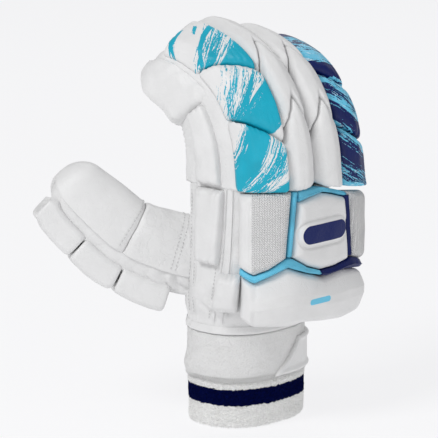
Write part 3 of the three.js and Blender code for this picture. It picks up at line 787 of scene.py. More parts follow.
def trim_under(low_at, high_at, before, after):
    """The strip between the bar's top and the bottoms of two pads, with a row at every corner of theirs."""
    pads = BAR_WRIST, before, after
    corners = np.concatenate([mix(left[0], right[0], rows["at"]) for left, right, rows in pads])
    inside = corners[(corners > low_at + LAP_ALONG) & (corners < high_at - LAP_ALONG)]
    at = np.concatenate([[low_at], np.sort(inside), [high_at]])
    between = np.clip((at - before[1][0]) / (after[0][0] - before[1][0]), 0, 1)
    high = mix(edge_of(before, "low", at), edge_of(after, "low", at), between)
    low = edge_of(BAR_WRIST, "high", at) + LAP_UP
    rows = {"at": (at - low_at) / (high_at - low_at), "low": low, "high": high - LAP_UP}
    return (low_at, low_at), (high_at, high_at), rows


def trim_between(before, after, low, high):
    """The upright strip in the groove between two pads."""
    left = tuple(end + LAP_ALONG for end in before[1])
    right = tuple(end - LAP_ALONG for end in after[0])
    return left, right, table("at low high", (0, low, high), (1, low, high))


SKY_TOPS = table("at high", (0, RIM_UP), (0.5, RIM_UP), (0.75, 0.965), (1, 0.93))
CENTRE_ROWS = PAD_CENTRE[2]
SKY_TOP_ROWS = {
    "at": CENTRE_ROWS["at"],
    "low": CENTRE_ROWS["high"] + LAP_UP,
    "high": np.interp(CENTRE_ROWS["at"], SKY_TOPS["at"], SKY_TOPS["high"]),
}
# each trim: its plan as for a pad, its colour, and whether it lies across the hand
TRIMS = {
    "trim_sky_low": (trim_under(0.03, TRIM_MEET, BLOCK_INDEX, PAD_CENTRE), "sky", True),
    "trim_navy_low": (trim_under(TRIM_MEET + LAP_ALONG, 0.93, PAD_CENTRE, BLOCK_LITTLE), "navy", True),
    "trim_sky_side": (trim_between(BLOCK_INDEX, PAD_CENTRE, 0.56 + LAP_UP, RIM_UP), "sky", False),
    "trim_navy_side": (trim_between(PAD_CENTRE, BLOCK_LITTLE, 0.48 + LAP_UP, NAVY_TOP), "navy", False),
    "trim_sky_top": (((PAD_CENTRE[0][1],) * 2, (PAD_CENTRE[1][1],) * 2, SKY_TOP_ROWS), "sky", True),
}


def trim_grids(plan, lengthwise, finish, seed):
    """Folded trim: two flat facets that meet at a ridge off the middle, running the strip's long way,
    with a rolled edge on either side."""
    v, u = lattice(np.linspace(0, 1, 44), np.linspace(0, 1, 44))
    share = v if lengthwise else u
    fold = np.interp(share, (0, 0.12, 0.36, 0.9, 1), (0.2, 0.7, 1.2, 0.5, 0.2))
    step = hill(0.36, 0.06, share) * 0.25
    spots = pad_place(plan, u, v, 0.0)[0]
    drop = TRIM_SINK - 0.4 - (fold + step) * finish["trim_fold"] - rumple(spots, 9.0, seed) * 0.2
    outer, inner, at, up = pad_place(plan, u, v, drop)
    return closed(outer, inner, np.stack([at * BACK_LONG, up * HAND_RISE], -1))


def dimples(shader):
    """Moulded scales in bent rows, a little under two millimetres apart; each is high in its middle."""
    s, t = shader.ruled()
    bent = t + (s - 24) * (s - 24) * 0.012
    scale = shader.cells(shader.join(s, bent * 1.1), 1.7, 0.16)
    return scale.step(0.2, 0.6) * -1.25 * s.step(14.5, 16.5)


# a plain bar with round ends: its middle across and up, half length and radius, in millimetres
BADGE, BAR_MARK = (71.0, 70.0, 13.5, 6.2), (67.0, 24.5, 7.5, 2.0)


def badge(across, up):
    """Distance from the middle line of the plain bar on the centre pad."""
    return np.hypot(np.maximum(abs(across - BADGE[0]) - BADGE[2], 0), up - BADGE[1])


class GLOVE_OT_back(bpy.types.Operator):
    """Build the padded back of the hand and its folded trim"""

    bl_idname = "glove.back"
    bl_label = "Back pads and trim"

    def execute(self, context):
        finish, tint = lengths(), colours()
        marked = leather("marked_leather", tint["leather"], mark=(BADGE, tint["navy"]), gleam=0.25)
        barred = leather("bar_leather", tint["leather"], mark=(BAR_MARK, tint["sky"]))
        scaled = leather("dimpled_leather", tint["leather"], 0.48, dimples)

        def flat(across, up, rim):
            """A soft bevel all round."""
            return (1 - ease(0, 6, rim)) * 0.8

        def ridge(across, up, rim):
            """A soft bevel and a pressed line between the smooth and the scaled leather."""
            return hill(14.5, 1.6, across) * 0.8 * ease(0, 6, rim) + (1 - ease(0, 6, rim)) * 0.8

        def medallion(across, up, rim):
            """A bevelled border and, on the face, a pressed moat round a raised bar with round ends."""
            far = badge(across, up)
            return (1 - ease(0, 7, rim)) * 1.3 + hill(9.2, 0.9, far) * 1.5 - (1 - ease(5.8, 7.4, far)) * 0.7

        def bar(across, up, rim):
            """A broad bevel all round, with a seam across near the thumb's side."""
            bevel = (1 - np.clip(rim / 12.5, 0, 1)) * 4.0
            seam = hill(17.5, 0.9, across - 0.06 * (up - 25)) * 1.1
            return bevel + seam * ease(0, 5, rim)

        rows = (
            ("block_index", BLOCK_INDEX, ridge, scaled),
            ("pad_centre", PAD_CENTRE, medallion, marked),
            ("block_little", BLOCK_LITTLE, flat, scaled),
            ("bar_wrist", BAR_WRIST, bar, barred),
        )
        for order, (name, pad, shape, material) in enumerate(rows):
            grids = pad_grids(pad, finish, shape, 40 + order)
            dress(mesh_piece(f"{name}_cover", grids, material), [name])
        finishes = {}
        for key in ("sky", "navy"):
            finishes[key] = leather(f"{key}_trim_leather", tint[key], 0.36, dip=0.8, gleam=0.22)
        for order, (name, (plan, key, lengthwise)) in enumerate(TRIMS.items()):
            grids = trim_grids(plan, lengthwise, finish, 60 + order)
            dress(mesh_piece(f"{name}_folded", grids, finishes[key]), [name])
        return {"FINISHED"}


# Leather walls


def wall_grids(limb, ats, degrees, relief, thick, low=0.0):
    """A tube's skin with a relief added to its growth, and the same skin drawn in by the wall's thickness."""
    at, angle = lattice(ats, np.radians(degrees))
    grow = low + relief(at, angle, limb.surface(at, angle, low))
    outer = limb.surface(at, angle, grow)
    inner = limb.surface(at, angle, grow - thick)
    outer[:, -1], inner[:, -1] = outer[:, 0], inner[:, 0]
    uv = np.stack([angle * 25, at * limb.length], -1)
    rims = [(np.stack([outer[row], inner[row]]), np.stack([uv[row], uv[row]])) for row in (0, -1)]
    return [(outer, uv), (inner, uv), *rims]


def circle(count):
    """Even directions round a tube, in degrees."""
    return np.linspace(0, 360, count + 1)


def turns(angle, degrees):
    """How far an angle is from a direction, in degrees either way."""
    return abs((np.degrees(angle) - degrees + 180) % 360 - 180)


def along_stations(limb, count):
    """Even stations that pack together towards a round tip."""
    bend = 1 - limb.tip / limb.length
    tip = mix(bend, 1, np.sin(np.linspace(0, np.pi / 2, 18)))
    return np.concatenate([np.linspace(0, bend, count), tip[1:]])


def finger_relief(limb, finish, seed):
    """Folds across the palm side where a finger bends, and faint folds elsewhere."""

    def relief(at, angle, spots):
        palm = 1 - ease(40, 110, turns(angle, 270))
        bent = 1.2 * np.sin(angle * 2 + seed) + rumple(spots, 30, seed) * 1.5
        wave = np.sin(at * limb.length * 0.62 + bent)
        bend = ease(0.15, 0.35, at) * (1 - ease(0.75, 0.9, at))
        side = 1 - ease(10, 35, turns(angle, 180))
        fold = (abs(wave) ** 0.6 - 0.7) * palm * bend * finish["crease"]
        return fold + rumple(spots, 12, seed + 3) * 0.25 * (palm + side * 0.6)

    return relief


# angle and depth of each seam down the thumb's side of the hand
SIDE_SEAMS = ((189.5, 1.6), (193, 2.0), (197.5, 2.0), (202, 1.6), (166.2, 1.9), (156, 1.5))


def hand_relief(finish):
    """Hand shell: folds at the wrist, stitched-down grooves along the side of the palm, soft hollows."""

    def relief(at, angle, spots):
        z = spots[..., 2]
        side = 1 - ease(30, 62, turns(angle, 196))
        wrist = hill(84, 13, z)
        off = turns(angle, 171)
        gather = hill(0, 5, off) * hill(89, 12, z) + hill(0, 6, off) * hill(118, 7, z)
        pleat = np.sin(z * 1.15 + 14 * np.sin(angle) + rumple(spots, 7, 5) * 3.4)
        slack = np.sin(z * 0.33 + 9 * np.sin(angle * 1.5) + rumple(spots, 19, 6) * 2.6)
        depth = (wrist * (0.12 + 0.25 * side) + gather * 1.5) * finish["crease"]
        folds = (abs(pleat) ** 0.7 - 0.6) * depth + slack * wrist * (0.2 + side) * 0.5
        grooves = 0.0
        for degrees, deep in SIDE_SEAMS:
            off = turns(angle, degrees)
            grooves = grooves - hill(0, 0.55, off) * deep + hill(0, 2.0, off) * 0.6
        ends = hill(112, 2.2, z) + hill(KNUCKLES, 2.0, z)
        under = z - 80 - 10 * ease(150, 172, np.degrees(angle))
        crevice = hill(0, 2.2, under) * 2.6 - hill(-5, 3.0, under) * 1.2
        tuck = hill(0, 7, turns(angle, 179)) * ends * 1.4 + hill(0, 16, turns(angle, 158)) * crevice
        heel = 1 - ease(45, 100, turns(angle, 270))
        lines = np.sin(spots[..., 0] * 0.16 + spots[..., 2] * 0.13 + rumple(spots, 40, 9) * 1.6)
        palm = (abs(lines) ** 0.5 - 0.75) * heel * 0.8 * ease(75, 95, z)
        calm = ease(HEM_HEIGHT + HEM_TALL, HEM_HEIGHT + HEM_TALL + 4, z)
        return (folds + palm + grooves - tuck + rumple(spots, 15, 8) * 0.5) * calm

    return relief


class GLOVE_OT_walls(bpy.types.Operator):
    """Build the leather walls of the hand, the fingers and the thumb"""

    bl_idname = "glove.walls"
    bl_label = "Leather walls"

    def execute(self, context):
        finish, tint = lengths(), colours()
        hide = leather("wall_leather", tint["leather"], 0.46, creased=0.2)
        for order, (name, limb) in enumerate(FINGERS.items()):
            relief = finger_relief(limb, finish, 70 + order)
            grids = wall_grids(limb, along_stations(limb, 54), circle(72), relief, LEATHER)
            dress(mesh_piece(f"{name}_stall_leather", grids, hide), [f"stall_{name}"])
        arcs = (0, 150, 52), (150, 208, 121), (208, 360, 52)
        seamed = np.unique(np.concatenate([np.linspace(*arc) for arc in arcs]))
        grids = wall_grids(HAND, np.linspace(0, 1.008, 104), seamed, hand_relief(finish), LEATHER)
        inside = partial(THUMB.holds, grow=-LEATHER)
        dress(mesh_piece("hand_leather", grids, hide, inside), ["hand_shell"])

        def thumb_relief(at, angle, spots):
            """A piped edge beside the rolls, deep slanting folds near the hand and faint ones beyond."""
            wave = np.sin(at * 40 + 7.0 * angle + rumple(spots, 24, 81) * 2.0)
            gusset = 1 - ease(16, 34, turns(angle, 44)) + 1 - ease(16, 34, turns(angle, 140))
            deep = mix(0.1, 3.0, 1 - ease(0.24, 0.46, at))
            piping = hill(0, 3.2, turns(angle, 54)) + hill(0, 3.2, turns(angle, 126))
            folds = (abs(wave) ** 0.8 - 0.5) * deep * gusset * (1 - piping)
            body = 1 - ease(0.84, 0.94, at)
            return (folds + piping * 0.9 + gusset * 0.8) * body + rumple(spots, 14, 82) * 0.3

        grids = wall_grids(THUMB, along_stations(THUMB, 96), circle(100), thumb_relief, LEATHER)
        inside = partial(HAND.holds, grow=-LEATHER / 2)
        dress(mesh_piece("thumb_stall_leather", grids, hide, inside), ["thumb_stall"])
        return {"FINISHED"}


# Covers that wrap part of a limb


def cover_grids(limb, low_at, high_at, low, highs, thick, radius, relief, counts=(50, 50), open_side=False):
    """A cover between two stations and two angles, quarter-round at its edges but for an open side,
    with a relief given by relief(station share, angle share, place)."""
    tip = high_at == 1
    long = (high_at - low_at) * limb.length
    middle = limb.halves(np.array(mix(low_at, high_at, 0.4)), thick)
    girth = abs(np.radians(highs[0] - low)) * (middle[0] + middle[1]) / 2
    v = close_ends(counts[0], long, radius)
    if tip:
        bend = (1 - limb.tip / limb.length - low_at) / (high_at - low_at)
        v = np.concatenate([v[v < bend], mix(bend, 1, np.sin(np.linspace(0, np.pi / 2, 20)))])
    v, u = lattice(v, close_ends(counts[1], girth, radius))
    at = mix(low_at, high_at, v)
    angle = np.radians(mix(low, mix(highs[0], highs[1], v), u))
    edge = np.minimum(1 if open_side else u, 1 - u) * girth
    edge = np.minimum(edge, v * long)
    edge = edge if tip else np.minimum(edge, (1 - v) * long)
    face = thick - quarter_round(edge, radius) * min(1, (thick - 0.25) / radius)
    spots = limb.surface(at, angle, CLEARANCE + thick)
    grow = CLEARANCE + face + relief(v, u, spots)
    outer = limb.surface(at, angle, grow)
    inner = limb.surface(at, angle, -LEATHER / 2)
    return closed(outer, inner, np.stack([u * girth, at * limb.length], -1))


SEAM, BASE_FROM, COVER_LOW, COVER_HIGH = 0.535, 0.16, -218, 22
# name, limb, stations, angles, thickness, rounding, share over which each side rises from the limb
SIDE_PADS = (
    ("side_tip", "index", 0.52, 1, 150, 240, TIP_THICK, 4.8, (0.6, 0.3)),
    ("side_finger", "index", 0.02, 0.5, 168, 190, SIDE_THICK, 4.2, (0.1, 0.3)),
    ("side_hand", None, 0.49, RIM_UP, 170, 187, SIDE_THICK, 4.2, (0.1, 0.2)),
    ("side_wrist", None, 0.17, 0.44, 140, 169, SIDE_THICK + 2, 6.0, (0.02, 0.1)),
)


class GLOVE_OT_covers(bpy.types.Operator):
    """Build the pads along the forefinger's side and the leather over the thumb"""

    bl_idname = "glove.covers"
    bl_label = "Side pads and thumb leather"

    def execute(self, context):
        finish, tint = lengths(), colours()
        plain = leather("side_pad_leather", tint["leather"])
        for order, (name, limb, low, high, start, end, thick, radius, sides) in enumerate(SIDE_PADS):
            source = FINGERS[limb] if limb else HAND

            def relief(v, u, spots, seed=order, sides=sides, thick=thick):
                """A crown, sides that slope down to the limb, and creases running in from both ends."""
                swell = (3.4 if seed == 3 else 1.3) * (16 * u * (1 - u) * v * (1 - v)) ** 0.5
                slope = (2 if seed == 0 else 1) * (1 - ease(0, sides[0], u)) + 1 - ease(0, sides[1], 1 - u)
                near = np.minimum(v, 1 - v)
                pucker = np.sin(u * 34 + seed + 3 * v) * np.exp(-near * 16) * 2.2 * finish["pucker"]
                return swell - slope * thick * 0.5 + pucker + rumple(spots, 10, 90 + seed) * 0.4

            where = source, low, high, start, (end, end)
            grids = cover_grids(*where, thick, radius, relief, open_side=order == 0)
            dress(mesh_piece(f"{name}_cover", grids, plain), [name])
        hood_hide = leather("hood_leather", tint["leather"], 0.44)
        base_hide = leather("thumb_base_leather", tint["leather"], 0.44, creased=0.24)

        def hood(v, u, spots):
            """A low crown along the thumb, drawn in at the cross seam."""
            tuck = hill(0.0, 0.05, v) * 1.4
            return rumple(spots, 26, 101) * 0.35 - tuck + 0.5 * np.sin(np.pi * v)

        def base(v, u, spots):
            """Fine creases fanning over the thumb's root, drawn in at the cross seam."""
            fan = np.sin(v * 46 + 30 * u + rumple(spots, 11, 102) * 4.5)
            strength = 0.22 * hill(0.72, 0.3, u) * hill(0.6, 0.35, v)
            tuck = hill(1.0, 0.06, v) * 1.2
            return (abs(fan) ** 0.7 - 0.6) * strength + rumple(spots, 16, 103) * 0.45 - tuck

        shapes = (
            ("thumb_hood", SEAM, 1, hood, hood_hide, False),
            ("thumb_base", BASE_FROM, SEAM - CLEARANCE / THUMB.length, base, base_hide, True),
        )
        for name, low, high, relief, hide, meets_hand in shapes:
            where = THUMB, low, high, COVER_LOW, (COVER_HIGH, COVER_HIGH)
            grids = cover_grids(*where, HOOD_THICK, 1.2, relief, (60, 96))
            drop = partial(HAND.holds, grow=0.0) if meets_hand else None
            dress(mesh_piece(f"{name}_leather", grids, hide, drop), [name])
        return {"FINISHED"}


# Hem, cuff and strap


def band(*rows):
    """An upright tube round the wrist; each row gives a height and how far it grows past the cuff."""
    heights, grows = np.array(rows, float).T
    at = (heights - heights[0]) / (heights[-1] - heights[0])
    wide, deep = CUFF_WIDE / 2 + grows, CUFF_DEEP / 2 + grows
    rows = {"at": at, "x": 0 * at, "y": 0 * at, "z": heights, "wide": wide, "deep": deep}
    return Limb({**rows, "square": 2.3 + 0 * at})


CUFF_TOP = HEM_HEIGHT + CUFF_TUCK
CUFF = band(
    (0, 0),
    (STRAP_LOW - 1.5 * CUFF_NIP, 0),
    (STRAP_LOW - CLEARANCE, -CUFF_NIP),
    (CUFF_TOP, -CUFF_NIP - CLEARANCE),
)
STRAP_GROW = CLEARANCE + STRAP_THICK - CUFF_NIP
STRAP = band((STRAP_LOW, STRAP_GROW), (STRAP_LOW + STRAP_TALL, STRAP_GROW))
STRIPE_LOW, STRIPE_HIGH = 15.2, 26.4


def frames(outward):
    """Two unit vectors for each place: one level and square to its outward direction, one up the wall."""
    level = unit(np.cross(np.broadcast_to([0, 0, 1.0], outward.shape), outward))
    return level, unit(np.cross(outward, level))


def strewn(template, spots, axes):
    """One joined grid set: a small tube template, of rings by sides by three, set at every place
    with its own three axes."""
    return spots[:, None, None, :] + np.einsum("rsk,nkc->nrsc", template, np.stack(axes, 1))


def joined(name, tubes, material):
    """One mesh of many small tubes, each an array of rings by sides of points."""
    count, rings, sides = tubes.shape[:3]
    index = np.arange(rings * sides).reshape(rings, sides)
    cell = cells_of(np.concatenate([index, index[:, :1]], 1))
    faces = (cell[None] + np.arange(count)[:, None, None] * rings * sides).reshape(-1, 4)
    return smooth_object(name, new_mesh(name, tubes.reshape(-1, 3), faces), material)


def loop_template(tall, wide, thread, rings=6, sides=3):
    """A terry loop: half a ring of thread standing on the cloth. Columns are across, up the wall, outward."""
    turn = np.linspace(0, np.pi, rings)
    middle = np.stack([-np.cos(turn) * wide / 2, 0 * turn, np.sin(turn) * tall - 0.3], -1)
    radial = np.stack([-np.cos(turn), 0 * turn, np.sin(turn)], -1)
    around = np.linspace(0, 2 * np.pi, sides, endpoint=False)
    c, s = np.cos(around)[None, :, None], np.sin(around)[None, :, None]
    return middle[:, None] + (c * radial[:, None] + s * np.array([0, 1.0, 0])) * thread


def spin(level, upright, angles):
    """Two axes turned by an angle about the third."""
    c, s = np.cos(angles)[:, None], np.sin(angles)[:, None]
    return level * c + upright * s, upright * c - level * s


def pile(template, spots, outward, rng, sizes, lean=0.0):
    """A thread template strewn over cloth: each copy is turned at random about its outward axis, tipped
    by a normal lean, and scaled between two sizes."""
    level, upright = spin(*frames(outward), rng.uniform(0, 2 * np.pi, len(spots)))
    if lean:
        tips = rng.normal(0, lean, (2, len(spots)))
        outward = unit(outward + level * tips[0][:, None] + upright * tips[1][:, None])
    size = rng.uniform(*sizes, len(spots))[:, None]
    return strewn(template, spots, (level * size, upright, outward * size))


def towelling(name, tint, loops):
    """White towelling with one navy stripe whose edges step from loop to loop."""
    shader = Shader(name)
    spot = shader.place()
    x, y, z = shader.parts(spot)
    ragged = (shader.noise(spot, 0.0018, 1) - 0.5) * 0.0024
    height = z + ragged
    low, high = STRIPE_LOW * 0.001, STRIPE_HIGH * 0.001
    inside = height.step(low - 0.0002, low + 0.0002) * (1 - height.step(high - 0.0002, high + 0.0002))
    tone = shader.noise(spot, 0.0016, 2).step(0.3, 0.7)
    white = shader.blend(tone, darker(tint["towel"], 0.93), rgba(tint["towel"]))
    dark = shader.blend(tone, darker(tint["stripe"], 0.6), rgba(tint["stripe"]))
    relief = None if loops else shader.cells(spot, 0.0016)
    rest = {"Specular_IOR_Level": 0.05}
    return shader.finish(shader.blend(inside, white, dark), 0.95, relief, 0.0012, **rest)


def brushed(name, colour):
    """Brushed loop fabric: matted fibres of mixed direction."""
    shader = Shader(name)
    spot = shader.place()
    mat = shader.noise(spot, 0.0011, 4, 0.7, 1.2)
    lumps = shader.noise(spot, 0.005, 2)
    shade = shader.blend(mat.step(0.3, 0.65), darker(colour, 0.93), rgba(colour))
    rest = {"Sheen_Weight": 0.3, "Sheen_Roughness": 0.5, "Specular_IOR_Level": 0.2}
    return shader.finish(shade, 0.95, mat + lumps * 0.8, 0.0011, **rest)


class GLOVE_OT_cuff(bpy.types.Operator):
    """Build the towelling cuff with its loops, and the leather hem above it"""

    bl_idname = "glove.cuff"
    bl_label = "Cuff and hem"

    def execute(self, context):
        finish, tint = lengths(), colours()

        def soft(at, angle, spots):
            """Uneven cloth, a little slimmer below the strap, its lower edge turned in."""
            z = spots[..., 2]
            return (rumple(spots, 22, 111) * 0.5 - 0.9) * (1 - ease(24, 30, z)) - quarter_round(z, 3.0) * 0.6

        ats = np.unique(np.concatenate([np.linspace(0, 0.06, 7), np.linspace(0.06, 1, 44)]))
        grids = wall_grids(CUFF, ats, circle(150), soft, CUFF_WALL)
        cloth = towelling("towelling_ground", tint, False)
        dress(mesh_piece("cuff_towelling", grids, cloth), ["cuff"])

        rng = np.random.default_rng(7)
        pitch = finish["loop_pitch"]
        around, rows = int(235 / pitch), int(31.5 / pitch)
        row, column = (grid.ravel() for grid in lattice(np.arange(rows), np.arange(around)))
        heights = 0.3 + row * pitch + rng.uniform(-0.35, 0.35, row.size) * pitch
        angles = (column + (row % 2) * 0.5 + rng.uniform(-0.3, 0.3, row.size)) * 2 * np.pi / around
        at = heights / CUFF_TOP
        grow = soft(at, angles, CUFF.surface(at, angles, 0.0))
        spots = CUFF.surface(at, angles, grow)
        outward = unit(CUFF.surface(at, angles, grow + 1) - spots)
        template = loop_template(finish["loop_tall"], pitch * 0.95, 0.24, 4)
        tubes = pile(template, spots, outward, rng, (0.8, 1.2), 0.28)
        piece = joined("cuff_terry_loops", tubes, towelling("terry_loops", tint, True))
        dress(piece, [])

        def hem(at, angle, spots):
            """A binding rolled outward at its lower edge, pleated on the thumb's side."""
            pleat = np.sin(np.degrees(angle) * 0.42 + rumple(spots, 18, 112) * 2)
            side = 1 - ease(20, 60, turns(angle, 200))
            roll = mix(1.1, 0.25, ease(0.15, 1.0, at)) - quarter_round(at * HEM_TALL, 1.2)
            return roll + pleat * 0.3 * side

        ats = np.linspace(0, HEM_TALL / HAND_RISE, 5)
        rows = {name: read(HAND.rows, name, ats) for name in HAND.rows if name != "at"}
        cuff_hem = Limb({**rows, "at": np.linspace(0, 1, 5)})
        grids = wall_grids(cuff_hem, np.linspace(0, 1, 14), circle(200), hem, HEM_THICK, 0.15)
        hide = leather("hem_leather", tint["leather"], 0.44)
        dress(mesh_piece("hem_band_leather", grids, hide), ["hem_band"])
        return {"FINISHED"}


class GLOVE_OT_strap(bpy.types.Operator):
    """Build the brushed wrist strap with its fibres, knitted lower edge and piped end"""

    bl_idname = "glove.strap"
    bl_label = "Wrist strap"

    def execute(self, context):
        finish, tint = lengths(), colours()
        fabric = brushed("brushed_strap", tint["strap"])

        def face(at, angle, spots):
            """Soft edges, and a swelling where the strap's end shows through."""
            z = spots[..., 2]
            end = hill(0, 16, turns(angle, 207)) * hill(40, 7, z) * 3.0
            edge = quarter_round(np.minimum(at, 1.03 - at) * STRAP_TALL, 1.4)
            return end - edge * 0.8 + rumple(spots, 20, 121) * 0.3

        grids = wall_grids(STRAP, np.linspace(0, 1.03, 42), circle(160), face, STRAP_THICK)
        dress(mesh_piece("strap_brushed", grids, fabric), ["strap"])

        ends = TAB_LIFT / STRAP_TALL, (TAB_LIFT + TAB_TALL) / STRAP_TALL

        def tab(v, u, spots):
            """A raised piping inside the rim and a flat face within it."""
            rim = np.minimum(np.minimum(u, 1 - u) * 70, np.minimum(v, 1 - v) * TAB_TALL)
            return hill(1.6, 1.0, rim) * 0.55 - ease(2.5, 4.5, rim) * 0.6

        grids = cover_grids(STRAP, *ends, 5, (99, 70), TAB_THICK, 1.0, tab, (36, 60))
        coated = leather("tab_coating", tint["leather"], 0.5)
        dress(mesh_piece("strap_tab_piped", grids, coated), ["strap_tab"])

        rng = np.random.default_rng(11)
        count = 8000
        at, angles = rng.uniform(0.01, 0.99, count), rng.uniform(0, 2 * np.pi, count)
        spots = STRAP.surface(at, angles, face(at, angles, STRAP.surface(at, angles, 0.0)))
        outward = unit(STRAP.surface(at, angles, 1.0) - STRAP.surface(at, angles, 0.0))
        template = loop_template(finish["fibre"] * 0.45, finish["fibre"] * 1.5, 0.08, 3)
        tubes = pile(template, spots, outward, rng, (0.5, 1.1))
        dress(joined("strap_fibres", tubes, brushed("strap_fibre", tint["strap"])), [])

        at, steps = np.full(150, 0.03), np.arange(150) / 150 * 2 * np.pi
        spots = STRAP.surface(at, steps, 0.4)
        outward = unit(STRAP.surface(at, steps, 1.4) - spots)
        level, upright = frames(outward)
        lean = unit(level * 0.55 + upright)
        across = unit(np.cross(lean, outward))
        template = loop_template(0.9, 3.4, 0.42, 6, 4)
        tubes = strewn(template, spots, (lean, across, outward))
        knit = brushed("knitted_edge", darker(tint["strap"], 0.9)[:3])
        dress(joined("strap_knitted_edge", tubes, knit), [])
        return {"FINISHED"}


# Stitches


def stitch_template(long, thick, rings=5, sides=5):
    """A short thread, arched in the middle and sunk at both ends. Columns run along, aside and outward."""
    turn = np.linspace(-1, 1, rings)
    middle = np.stack([turn * long / 2, 0 * turn, (1 - turn**2) * thick - thick * 0.35], -1)
    thin = np.sqrt(np.maximum(0, 1 - turn**6)) * 0.8 + 0.2
    around = np.linspace(0, 2 * np.pi, sides, endpoint=False)
    ring = np.stack([0 * around, np.cos(around), np.sin(around)], -1)
    return middle[:, None] + ring[None] * (thin[:, None, None] * thick / 2)


def seam_stitches(path, outward, finish):
    """Stitches at even steps along a path on a surface, each in the path's own direction."""
    run = np.concatenate([[0], np.cumsum(np.linalg.norm(np.diff(path, axis=0), axis=1))])
    spot = np.arange(finish["stitch_gap"] / 2, run[-1], finish["stitch_gap"])

    def at_run(data, where):
        return np.stack([np.interp(where, run, data[:, k]) for k in range(3)], -1)

    along = unit(at_run(path, spot + 0.5) - at_run(path, spot - 0.5))
    out = at_run(outward, spot)
    out = unit(out - along * (out * along).sum(-1, keepdims=True))
    template = stitch_template(finish["stitch_long"], finish["stitch_thick"])
    return strewn(template, at_run(path, spot), (along, np.cross(out, along), out))


COVER_SKIN = CLEARANCE + HOOD_THICK
# each row: limb, first and last station, first and last direction in degrees, height on the skin
SEAM_ROWS = (
    (THUMB, (SEAM + 0.022, SEAM + 0.022), (COVER_LOW + 6, COVER_HIGH - 6), COVER_SKIN - 0.05),
    (THUMB, (0.258, 0.258), (-120, 18), COVER_SKIN),
    (THUMB, (0.281, 0.281), (-120, 18), COVER_SKIN),
    (HAND, (0.12, 0.98), (191.2, 191.2), 0.5),
    (HAND, (0.12, 0.98), (199.8, 199.8), 0.5),
    (HAND, (0.1, 0.46), (173, 173), 0.4),
)


class GLOVE_OT_stitches(bpy.types.Operator):
    """Sew the visible rows of stitches"""

    bl_idname = "glove.stitches"
    bl_label = "Stitches"

    def execute(self, context):
        finish, tint = lengths(), colours()
        thread = leather("sewing_thread", darker(tint["leather"], 0.78)[:3], 0.7)
        share = np.linspace(0, 1, 200)
        rows = []
        for limb, ats, degrees, grow in SEAM_ROWS:
            at, angle = mix(*ats, share), np.radians(mix(*degrees, share))
            path = limb.surface(at, angle, grow)
            rows.append(seam_stitches(path, unit(limb.surface(at, angle, grow + 1) - path), finish))
        piece = joined("seam_stitches", np.concatenate(rows), thread)
        dress(piece, [])
        return {"FINISHED"}


# Stage


AZIMUTH, ELEVATION = math.radians(-47), math.radians(13)
# metres: camera's distance, width seen at the glove, and the aim to the right and up
CAMERA_FAR, CAMERA_SEES, AIM_RIGHT, AIM_UP = 3.0, 0.2935, -0.0181, 0.130
FLOOR_REACH = 30.0
PALE = (0.985, 0.985, 1.0, 1.0)
# name, place (right, up, toward the camera), size, power
LIGHTS = (
    ("key", (-0.9, 1.35, 1.1), 0.65, 16),
    ("fill", (1.5, 0.4, 1.2), 1.6, 4.6),
    ("low", (-0.1, -0.05, 1.4), 1.0, 3.2),
    ("back", (0.2, 1.2, -1.3), 1.2, 5),
)


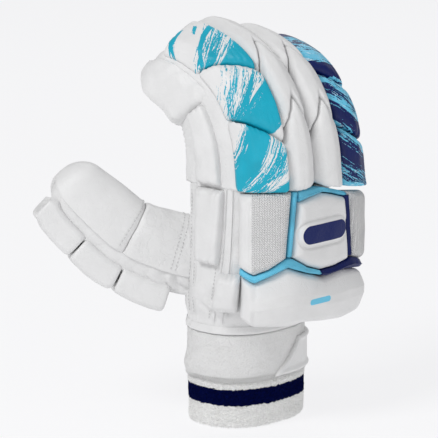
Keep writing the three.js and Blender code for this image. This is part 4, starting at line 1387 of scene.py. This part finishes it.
class GLOVE_OT_stage(bpy.types.Operator):
    """Set the pale floor, the soft lights and the camera"""

    bl_idname = "glove.stage"
    bl_label = "Stage"

    def execute(self, context):
        scene = context.scene
        mesh = bpy.data.meshes.new("floor")
        corners = [(x * FLOOR_REACH, y * FLOOR_REACH, -0.001) for x, y in ((-1, -1), (1, -1), (1, 1), (-1, 1))]
        mesh.from_pydata(corners, [], [(0, 1, 2, 3)])
        shader = Shader("pale_floor")
        glow = {"Emission_Color": PALE, "Emission_Strength": 0.76}
        mesh.materials.append(shader.finish((0.22, 0.22, 0.22, 1.0), 0.9, Specular_IOR_Level=0.0, **glow))
        floor = bpy.data.objects.new("floor", mesh)
        scene.collection.objects.link(floor)
        right = Vector((math.cos(AZIMUTH), math.sin(AZIMUTH), 0))
        level = Vector((math.sin(AZIMUTH), -math.cos(AZIMUTH), 0)) * math.cos(ELEVATION)
        toward = level + Vector((0, 0, math.sin(ELEVATION)))
        target = right * AIM_RIGHT + toward.cross(right) * AIM_UP
        lens = bpy.data.cameras.new("camera")
        lens.lens = lens.sensor_width * CAMERA_FAR / CAMERA_SEES
        lens.clip_end = 100
        camera = bpy.data.objects.new("camera", lens)
        camera.location = target + toward * CAMERA_FAR
        camera.rotation_euler = toward.to_track_quat("Z", "Y").to_euler()
        scene.collection.objects.link(camera)
        scene.camera = camera
        for name, (aside, above, ahead), size, power in LIGHTS:
            lamp = bpy.data.lights.new(name, "AREA")
            lamp.size, lamp.energy = size, power
            holder = bpy.data.objects.new(name, lamp)
            holder.location = target + right * aside + Vector((0, 0, above)) + level * ahead
            holder.visible_camera = False
            holder.rotation_euler = (holder.location - target).to_track_quat("Z", "Y").to_euler()
            scene.collection.objects.link(holder)
        world = bpy.data.worlds.new("studio")
        world.use_nodes = True
        nodes, links = world.node_tree.nodes, world.node_tree.links
        nodes["Background"].inputs["Color"].default_value = PALE
        place, parts = nodes.new("ShaderNodeTexCoord"), nodes.new("ShaderNodeSeparateXYZ")
        slope = nodes.new("ShaderNodeMapRange")
        for key, value in {"From Min": -1.0, "From Max": 1.0, "To Min": 0.34, "To Max": 0.46}.items():
            slope.inputs[key].default_value = value
        links.new(place.outputs["Generated"], parts.inputs[0])
        links.new(parts.outputs["Z"], slope.inputs[0])
        links.new(slope.outputs[0], nodes["Background"].inputs["Strength"])
        scene.world = world
        scene.view_settings.view_transform = "Standard"
        return {"FINISHED"}


OPERATORS = (
    GLOVE_OT_walls,
    GLOVE_OT_rolls,
    GLOVE_OT_back,
    GLOVE_OT_covers,
    GLOVE_OT_cuff,
    GLOVE_OT_strap,
    GLOVE_OT_stitches,
    GLOVE_OT_stage,
)


class GLOVE_PT_panel(bpy.types.Panel):
    """Lists the glove's pieces with its sizes and colours"""

    bl_idname = "GLOVE_PT_panel"
    bl_label = "Batting Glove"
    bl_space_type = "VIEW_3D"
    bl_region_type = "UI"
    bl_category = "Glove"

    def draw(self, context):
        for group in (context.scene.glove_sizes, context.scene.glove_colours):
            box = self.layout.box()
            for name in type(group).__annotations__:
                box.prop(group, name)
        for operator in OPERATORS:
            self.layout.operator(operator.bl_idname)


CLASSES = (GloveSizes, GloveColours, *OPERATORS, GLOVE_PT_panel)


def register():
    """Adds the classes and the scene's two groups of properties."""
    for item in CLASSES:
        bpy.utils.register_class(item)
    bpy.types.Scene.glove_sizes = PointerProperty(type=GloveSizes)
    bpy.types.Scene.glove_colours = PointerProperty(type=GloveColours)


def unregister():
    """Removes them again."""
    del bpy.types.Scene.glove_colours, bpy.types.Scene.glove_sizes
    for item in reversed(CLASSES):
        bpy.utils.unregister_class(item)


def main():
    """Builds every piece."""
    register()
    for operator in OPERATORS:
        group, name = operator.bl_idname.split(".")
        getattr(getattr(bpy.ops, group), name)()
    bpy.context.view_layer.update()


if __name__ == "__main__":
    main()
